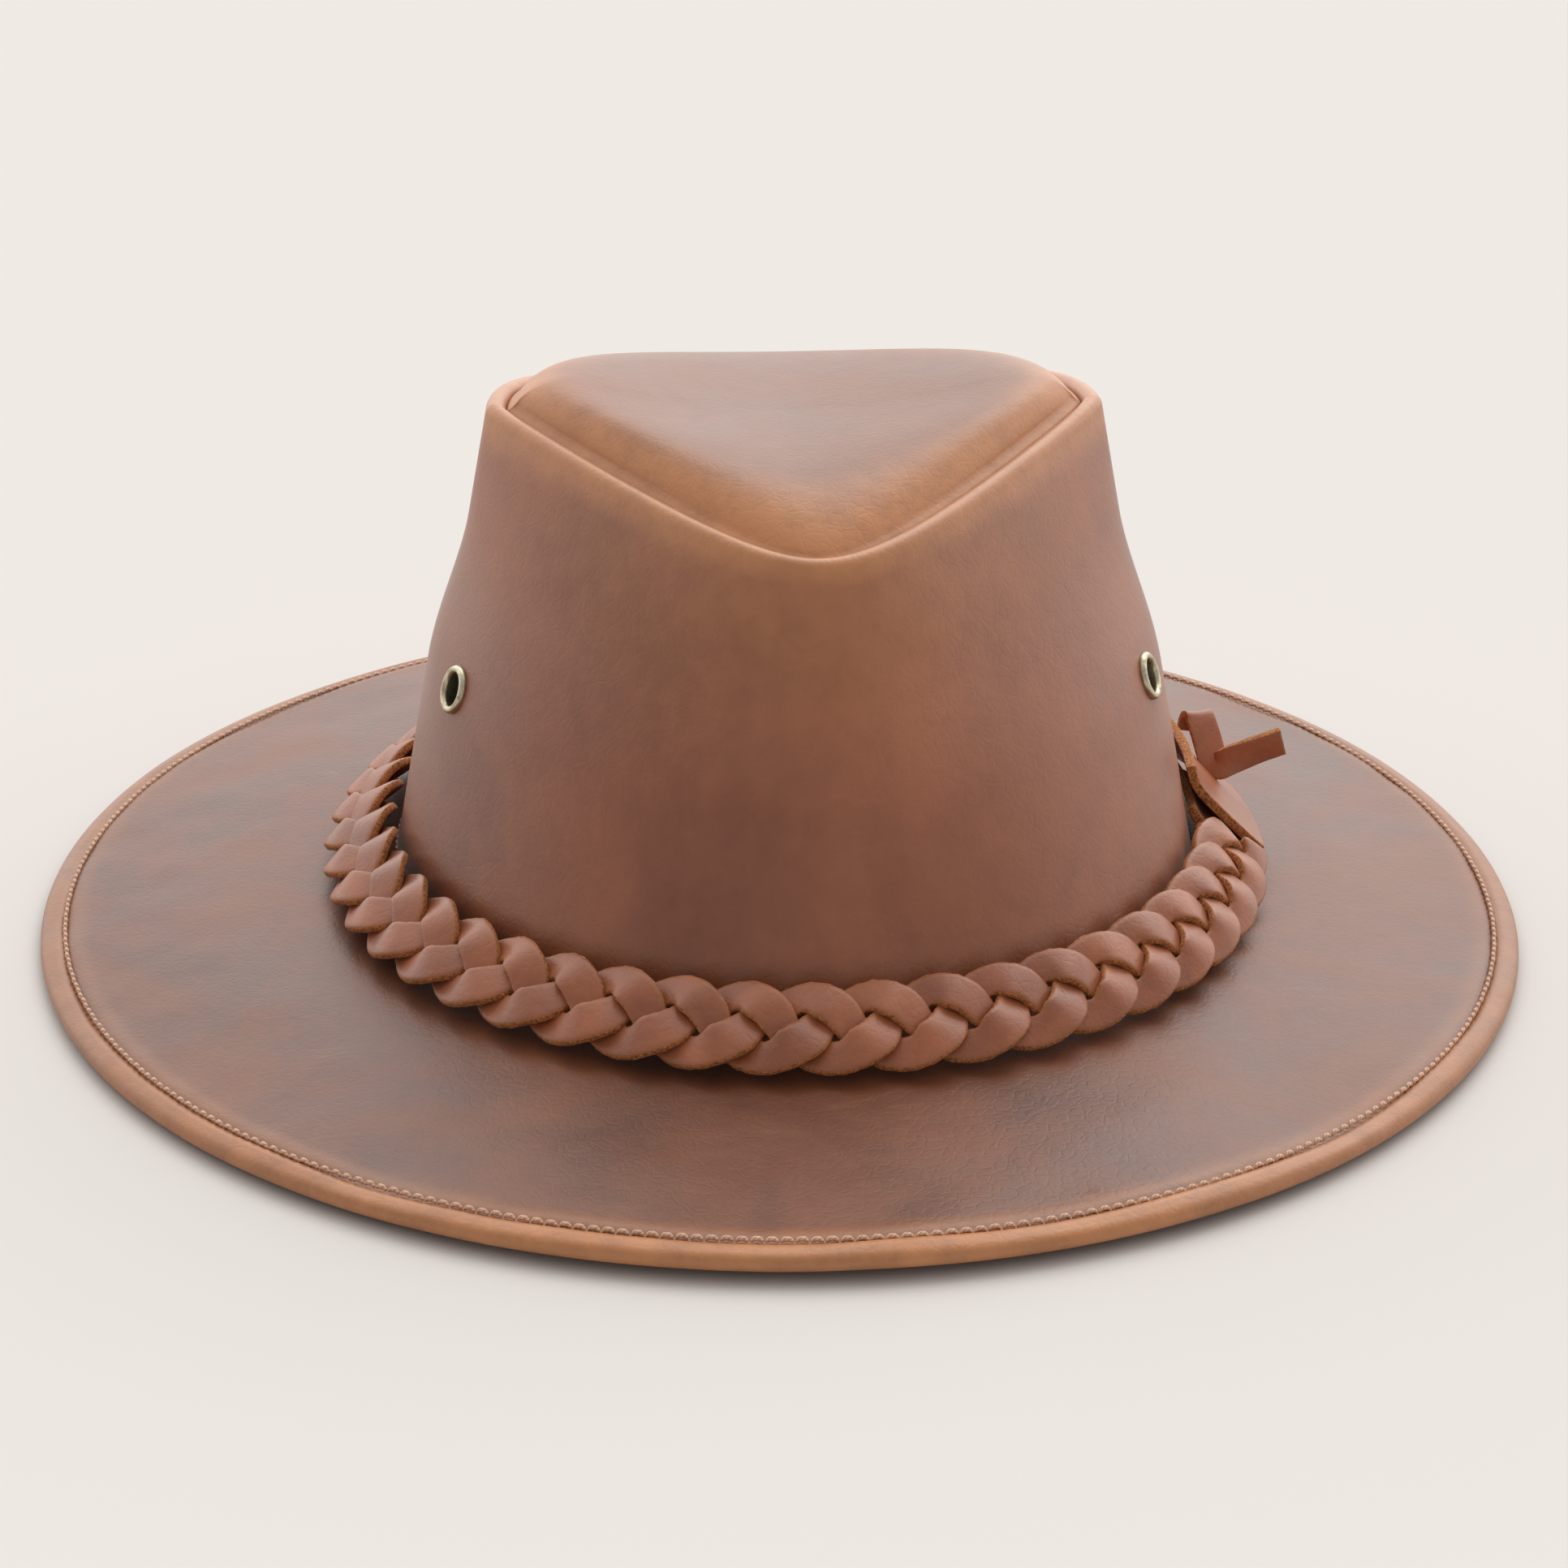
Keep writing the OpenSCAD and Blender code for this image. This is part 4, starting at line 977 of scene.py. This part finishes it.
class HAT_OT_sweatband(bpy.types.Operator):
    """Makes the sweatband and the tape over the back seam, inside the crown"""
    bl_idname = "hat.sweatband"
    bl_label = "Sweatband"

    def execute(self, context):
        hat = Hat(context.scene.hat_sizes)
        t = np.linspace(0, 2 * np.pi, 360, endpoint=False)[:, None]
        h = np.concatenate([[-1, -0.6], np.linspace(0.5, hat.sweat_h - 1, 16),
                            [hat.sweat_h - 0.35, hat.sweat_h]])[None]
        half = hat.sweat_t / 2
        edge = np.minimum(h + 1, hat.sweat_h - h) / half
        thick = half * np.sqrt(np.clip(1 - (1 - np.clip(edge, 0.08, 1)) ** 2, 0, 1))
        middle = (hat.sweat_out + hat.sweat_in) / 2 + 0.15 * smooth((h - 20) / 12)
        face = hat.inset_h(t, h, middle + thick + 0 * h)
        back = hat.inset_h(t, h, middle - thick + 0 * h)
        n, m = face.shape[:2]
        cut = np.tile(((edge < 0.9) & (h > 5)).astype(float), (n, 1))
        leather_sheet("sweatband_leather", face, back, finish_of("sweatband_leather"), "hat",
                      wrap=True, replaced=["sweatband"], slot="sweatband_leather",
                      pull=(0 * cut, 0 * cut), cut=(cut, cut), flesh=(0 * cut, 1 + 0 * cut))
        a = np.radians(90 + np.linspace(-6, 6, 13))[:, None]
        foot, top = hat.sweat_h + 3, hat.wall_h(np.array(np.pi / 2)) - hat.seam_allowance - 2
        up = np.linspace(foot, top, 24)[None]
        depth = hat.crown_t + 2 * hat.GAP
        face = hat.inset_h(a, up, depth + 0.9 + 0 * up)
        back = hat.inset_h(a, up, depth + 0 * up)
        leather_sheet("back_seam_tape", face, back, finish_of("sweatband_leather"), "hat",
                      replaced=["back_seam_stay"], slot="sweatband_leather", sharp=60)
        return {"FINISHED"}


class HAT_OT_eyelets(bpy.types.Operator):
    """Makes the four brass eyelets and the washers that they are set over"""
    bl_idname = "hat.eyelets"
    bl_label = "Eyelets"
    RIM_H = 0.95  # mm that the rolled rim rises above the bore's outer end
    CURL = 0.35  # mm, radius of the barrel's curled inner end
    BEHIND, BELOW = 0.5, 0.7  # mm from the leather to the washer, and from there to the end
    WASHER_RIM, CHAMFER = 2.0, 0.12  # mm

    def execute(self, context):
        hat = Hat(context.scene.hat_sizes)
        bore, wall, rim = hat.eyelet_bore_r, hat.eyelet_wall, hat.eyelet_rim
        half = (wall + rim) / 2
        washer_z = -(hat.crown_t + self.BEHIND)
        foot = washer_z - hat.washer_t - self.BELOW
        a = np.radians(np.linspace(180, -40, 23))
        over = np.stack([bore + half + half * np.cos(a), BORE_PROUD + self.RIM_H * np.sin(a)], 1)
        b = np.radians(np.linspace(0, 180, 13))
        r = self.CURL
        curl = np.stack([bore + wall + r + r * np.cos(b), foot + r - r * np.sin(b)], 1)
        outer = bore + wall
        shank = [[outer + 0.3, 0.1], [outer, 0.0], [outer, washer_z - hat.washer_t - 0.1],
                 [outer + 0.5, washer_z - hat.washer_t - 0.08]]
        profile = np.concatenate([[[bore, foot], [bore, -1.5]], over, shank, curl])
        z0, z1 = washer_z - hat.washer_t, washer_z
        r0, r1, e = outer + 0.1, outer + self.WASHER_RIM, self.CHAMFER
        plate = np.array([[r0, z0 + e], [r0, z1 - e], [r0 + e, z1], [r1 - e, z1], [r1, z1 - e],
                          [r1, z0 + e], [r1 - e, z0], [r0 + e, z0]])
        for mount in EYELETS:
            side, end, _ = mount["name"].split("_")
            self.turned(f"eyelet_{side}_{end}_brass", profile, mount, f"eyelet_{side}_{end}")
            self.turned(f"washer_{side}_{end}_brass", plate, mount, f"washer_{side}_{end}")
        return {"FINISHED"}

    def turned(self, name, profile, mount, node):
        """A closed profile of radius and height, carried once round the mount's axis."""
        centre, axis = mount_place(mount)
        side = unit(np.cross(axis, [0, 0, 1.0]))
        other = np.cross(axis, side)
        n, m = 72, len(profile)
        a = np.arange(n)[:, None] * 2 * np.pi / n
        out = np.cos(a)[..., None] * side + np.sin(a)[..., None] * other
        co = centre + profile[None, :, :1] * out + profile[None, :, 1:] * axis
        piece(name, co.reshape(-1, 3), [tube_faces(n, m, ring=True)], finish_of("eyelet_brass"),
              "hat", replaced=[node], slot="eyelet_brass", sharp=50)


class HAT_OT_braid(bpy.types.Operator):
    """Makes the three strands of the braided band"""
    bl_idname = "hat.braid"
    bl_label = "Braid"
    START, END, SLOPE = -336.0, -9.6, 38.0  # degrees: the braid's two ends, and its lean
    RADIUS = 97.0  # mm, mean radius of the braid's ring
    STEPS = 60  # sections to each turn
    HEIGHT, AHEAD = 1.66, 0.14  # mm that a strand goes over and under, and how early, in radians
    TILT, TILT_AT = 0.13, 1.5  # lean of a strand under its neighbours, and where, in radians
    # where a strand turns under its neighbours its edge draws in: [degrees of its turn, mm]
    DRAWN_IN, DRAWN_OVER = ((20, 2.5), (80, 2.0), (140, 0.5)), 29.0

    def execute(self, context):
        hat = Hat(context.scene.hat_sizes)
        for number in (1, 2, 3):
            self.strand(hat, number)
        return {"FINISHED"}

    def flat_path(self, hat, turn):
        """Across the braid and out of it: a sine, and a sine twice as fast that runs ahead."""
        return hat.braid_swing * np.sin(turn), -self.HEIGHT * np.sin(2 * turn + self.AHEAD)

    def half_width(self, hat, turn):
        """Half the strap's width on one side: less by a bell about each place where it draws in."""
        half = hat.strand_w / 2 + 0 * turn
        for place, depth in self.DRAWN_IN:
            away = (np.degrees(turn) - place + 180) % 360 - 180
            half = half - depth * bump_of(away, 0, self.DRAWN_OVER)
        return half

    def strand(self, hat, number):
        """A flat strap whose middle swings across the band, leaning under its neighbours."""
        n = hat.braid_turns * self.STEPS + 1
        i = np.arange(n)[:, None] / (n - 1)
        turn = 2 * np.pi * (hat.braid_turns * i + number / 3)
        t = np.radians(mix(self.START, self.END, i))
        w, h = self.flat_path(hat, turn)
        lean = -self.TILT * np.cos(turn - self.TILT_AT)
        # length of the band that one sample takes, to find the strap's heading
        pace = 2 * np.pi * self.RADIUS * (self.END - self.START) / 360 / (n - 1)
        heading = np.arctan2(np.gradient(w[:, 0]), pace)[:, None]
        # the strap's section: half width b, with round corners and a slightly domed face
        c = hat.strap_t / 2
        q = np.radians(np.linspace(0, 360, 28, endpoint=False))[None]
        b = np.where(np.cos(q) < 0, self.half_width(hat, turn), self.half_width(hat, turn + np.pi))
        x = b * np.sign(np.cos(q)) * np.abs(np.cos(q)) ** 0.28
        y = c * np.sign(np.sin(q)) * np.abs(np.sin(q)) ** 0.5 * (1 + 0.12 * (1 - (x / b) ** 2))
        across = x * np.cos(heading)
        shift = -x * np.sin(heading)  # along the band
        rise = h + y + lean * across
        slope = math.radians(self.SLOPE)
        sideways = w + across
        out = hat.band_out + sideways * math.cos(slope) + rise * math.sin(slope)
        up = hat.band_up - sideways * math.sin(slope) + rise * math.cos(slope)
        co = hat.beside(t + shift / self.RADIUS, out, up)
        edge = np.abs(x / b)
        rough = 0.16 * soft_noise(co, 1.5, 20 + number, 24)
        co[..., 2] += rough * smooth((edge - 0.9) / 0.1)
        m = co.shape[1]
        ends = np.concatenate([self.cap(m, 0), self.cap(m, (n - 1) * m)[:, ::-1]])
        side = np.broadcast_to(smooth((edge - 0.955) / 0.02), (n, m))
        pull = np.broadcast_to(0.3 * smooth((edge - 0.6) / 0.4), (n, m))
        piece(f"braid_strand_{number}_leather", co.reshape(-1, 3), [tube_faces(n, m), ends],
              finish_of("strap_leather"), "hat_band", replaced=[f"braid_strand_{number}"],
              slot="strap_leather", cut=side, pull=pull, flesh=np.zeros((n, m)))

    def cap(self, m, first):
        """Closes a section of m points with a strip of faces from one side to the other."""
        k = np.arange(m // 2 - 1)
        return np.stack([first + k, first + k + 1, first + m - 2 - k, first + m - 1 - k], 1)


def bare_slab(name, middle, thickness, node, corner=0.3):
    """A cut strap: a sheet about its middle surface, a little thinner at every edge.

    From four fifths at the edge, the thickness grows as a quarter circle over the corner.
    """
    n, m = middle.shape[:2]
    out = normals_of(middle, False)

    def from_edges(p):
        """Each point's length to the nearer end of its line."""
        step = np.linalg.norm(np.diff(p, axis=0), axis=-1)
        so_far = np.concatenate([np.zeros((1, p.shape[1])), np.cumsum(step, 0)])
        return np.minimum(so_far, so_far[-1] - so_far)

    edge = np.minimum(from_edges(middle), from_edges(middle.swapaxes(0, 1)).T)
    k = np.clip(edge / corner, 0.0, 1)
    half = thickness / 2 * (0.8 + 0.2 * np.sqrt(1 - (1 - k) ** 2))
    half = half + 0.1 * soft_noise(middle, 1.3, 9, 20) * (1 - k)
    cut = smooth((0.22 - edge) / 0.18)
    pull = 0.4 * smooth((2.2 - edge) / 2.0)
    return leather_sheet(name, middle + half[..., None] * out, middle - half[..., None] * out,
                         finish_of("strap_leather"), "hat_band", replaced=[node],
                         slot="strap_leather", sharp=45, cut=(cut, cut), pull=(pull, 0 * pull),
                         flesh=(0 * pull, 0 * pull))


def edge_steps(count):
    """Shares from 0 to 1, closer together at both ends, where a strap's edges round off."""
    ends = np.array([0, 0.004, 0.01, 0.018])
    return np.concatenate([ends, np.linspace(0.03, 0.97, count), 1 - ends[::-1]])


def through(guides, s):
    """A smooth path through guide points, at shares s of its length: a Catmull-Rom curve."""
    g = np.asarray(guides, float)
    g = np.concatenate([2 * g[:1] - g[1:2], g, 2 * g[-1:] - g[-2:-1]])
    x = np.clip(s, 0, 1) * (len(g) - 3)
    i = np.minimum(x.astype(int), len(g) - 4)
    f = (x - i)[..., None]
    a, b, c, d = g[i], g[i + 1], g[i + 2], g[i + 3]
    return 0.5 * (2 * b + (c - a) * f + (2 * a - 5 * b + 4 * c - d) * f ** 2
                  + (3 * b - a - 3 * c + d) * f ** 3)


class HAT_OT_band_ends(bpy.types.Operator):
    """Makes the band's two ends and the thong that ties them"""
    bl_idname = "hat.band_ends"
    bl_label = "Band ends"
    # guide points of each end's front and rear edge: [mm out from the crown's foot, mm up]
    OUTER_FRONT = [[14.5, 4], [8, 10], [1.8, 16.2], [-0.6, 19.5], [-1.9, 23.5]]
    OUTER_REAR = [[13.4, 3.2], [10.5, 5.4], [7.2, 8], [3.8, 10.8], [0.6, 13.4]]
    INNER = [[12.4, 2.6], [6.6, 7.1], [1.2, 10.6], [-1.5, 14.6]]
    # the thong's middle from its tail to the end of its loop: [mm out, mm along, mm up],
    # and the direction of its width at each of those points
    THONG = [[22.2, 8, 20.6], [16.4, 7.5, 18.8], [11, 7.5, 16.6], [8, 8, 15], [6.9, 9.6, 15.8],
             [6.2, 12, 18.4], [5.4, 14.6, 21.4], [4.6, 17, 23.6], [3.8, 18.4, 22.8],
             [3.2, 18.6, 19.6]]
    THONG_WIDE = [[0, -0.12, 0.99], [0, -0.1, 0.99], [0, 0.1, 0.99], [0.3, 0.3, 0.9],
                  [0.8, 0.2, 0.5], [1, 0.1, 0.2], [1, 0.1, 0.1], [1, 0.1, 0], [1, 0.1, 0],
                  [1, 0.1, 0]]

    def execute(self, context):
        hat = Hat(context.scene.hat_sizes)
        s, a = edge_steps(40), edge_steps(44)
        front, rear = through(self.OUTER_FRONT, s), through(self.OUTER_REAR, s)
        k = smooth((a - 0.62) / 0.38)[:, None]
        path = mix(front[None], rear[None], k[..., None])
        t = np.radians(mix(-8, 23.4, a))[:, None]
        bare_slab("band_outer_end_leather", hat.beside(t, path[..., 0], path[..., 1]),
                  hat.strap_t, "band_outer_end")
        path = through(self.INNER, s)[None] + np.zeros((len(a), 1, 1))
        t = np.radians(mix(-9.2, 9, a))[:, None]
        bare_slab("band_inner_end_leather", hat.beside(t, path[..., 0], path[..., 1]),
                  hat.strap_t, "band_inner_end")
        zero = np.array(0.0)
        origin = hat.brim_inner(zero) + points(0, 0, hat.edge_z(zero))
        along = edge_steps(60)
        line, wide = through(self.THONG, along), through(self.THONG_WIDE, along)
        way = unit(np.gradient(line, axis=0))
        wide = unit(wide - (wide * way).sum(-1, keepdims=True) * way)
        w = (edge_steps(12) - 0.5) * hat.thong_w
        middle = origin + line[:, None] + w[None, :, None] * wide[:, None]
        bare_slab("band_thong_leather", middle, hat.strap_t * 0.8, "band_thong")
        return {"FINISHED"}


class HAT_OT_wire(bpy.types.Operator):
    """Gives the wire in the brim's edge its finish"""
    bl_idname = "hat.wire"
    bl_label = "Brim wire"

    def execute(self, context):
        node = frame["nodes"]["brim_wire"]
        node.data.materials.clear()
        node.data.materials.append(finish_of("wire_steel"))
        return {"FINISHED"}


class HAT_PT_panel(bpy.types.Panel):
    """Lists the hat's sizes, colours and pieces"""
    bl_idname = "HAT_PT_panel"
    bl_label = "Leather hat"
    bl_space_type = "VIEW_3D"
    bl_region_type = "UI"
    bl_category = "Hat"

    def draw(self, context):
        for label, group in (("Sizes", context.scene.hat_sizes),
                             ("Colours", context.scene.hat_colours)):
            box = self.layout.box()
            box.label(text=label)
            for name in type(group).__annotations__:
                box.prop(group, name)
        for operator in MAKERS:
            self.layout.operator(operator.bl_idname)


MAKERS = (HAT_OT_stage, HAT_OT_crown_side, HAT_OT_crown_tip, HAT_OT_brim, HAT_OT_stitching,
          HAT_OT_sweatband, HAT_OT_eyelets, HAT_OT_braid, HAT_OT_band_ends, HAT_OT_wire)
CLASSES = (HatSizes, HatColours, *MAKERS, HAT_PT_panel)


def register():
    for cls in CLASSES:
        bpy.utils.register_class(cls)
    bpy.types.Scene.hat_sizes = PointerProperty(type=HatSizes)
    bpy.types.Scene.hat_colours = PointerProperty(type=HatColours)


def unregister():
    del bpy.types.Scene.hat_colours
    del bpy.types.Scene.hat_sizes
    for cls in reversed(CLASSES):
        bpy.utils.unregister_class(cls)


def main():
    """Registers the classes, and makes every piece."""
    register()
    for operator in MAKERS:
        _, name = operator.bl_idname.split(".")
        getattr(bpy.ops.hat, name)()


if __name__ == "__main__":
    main()
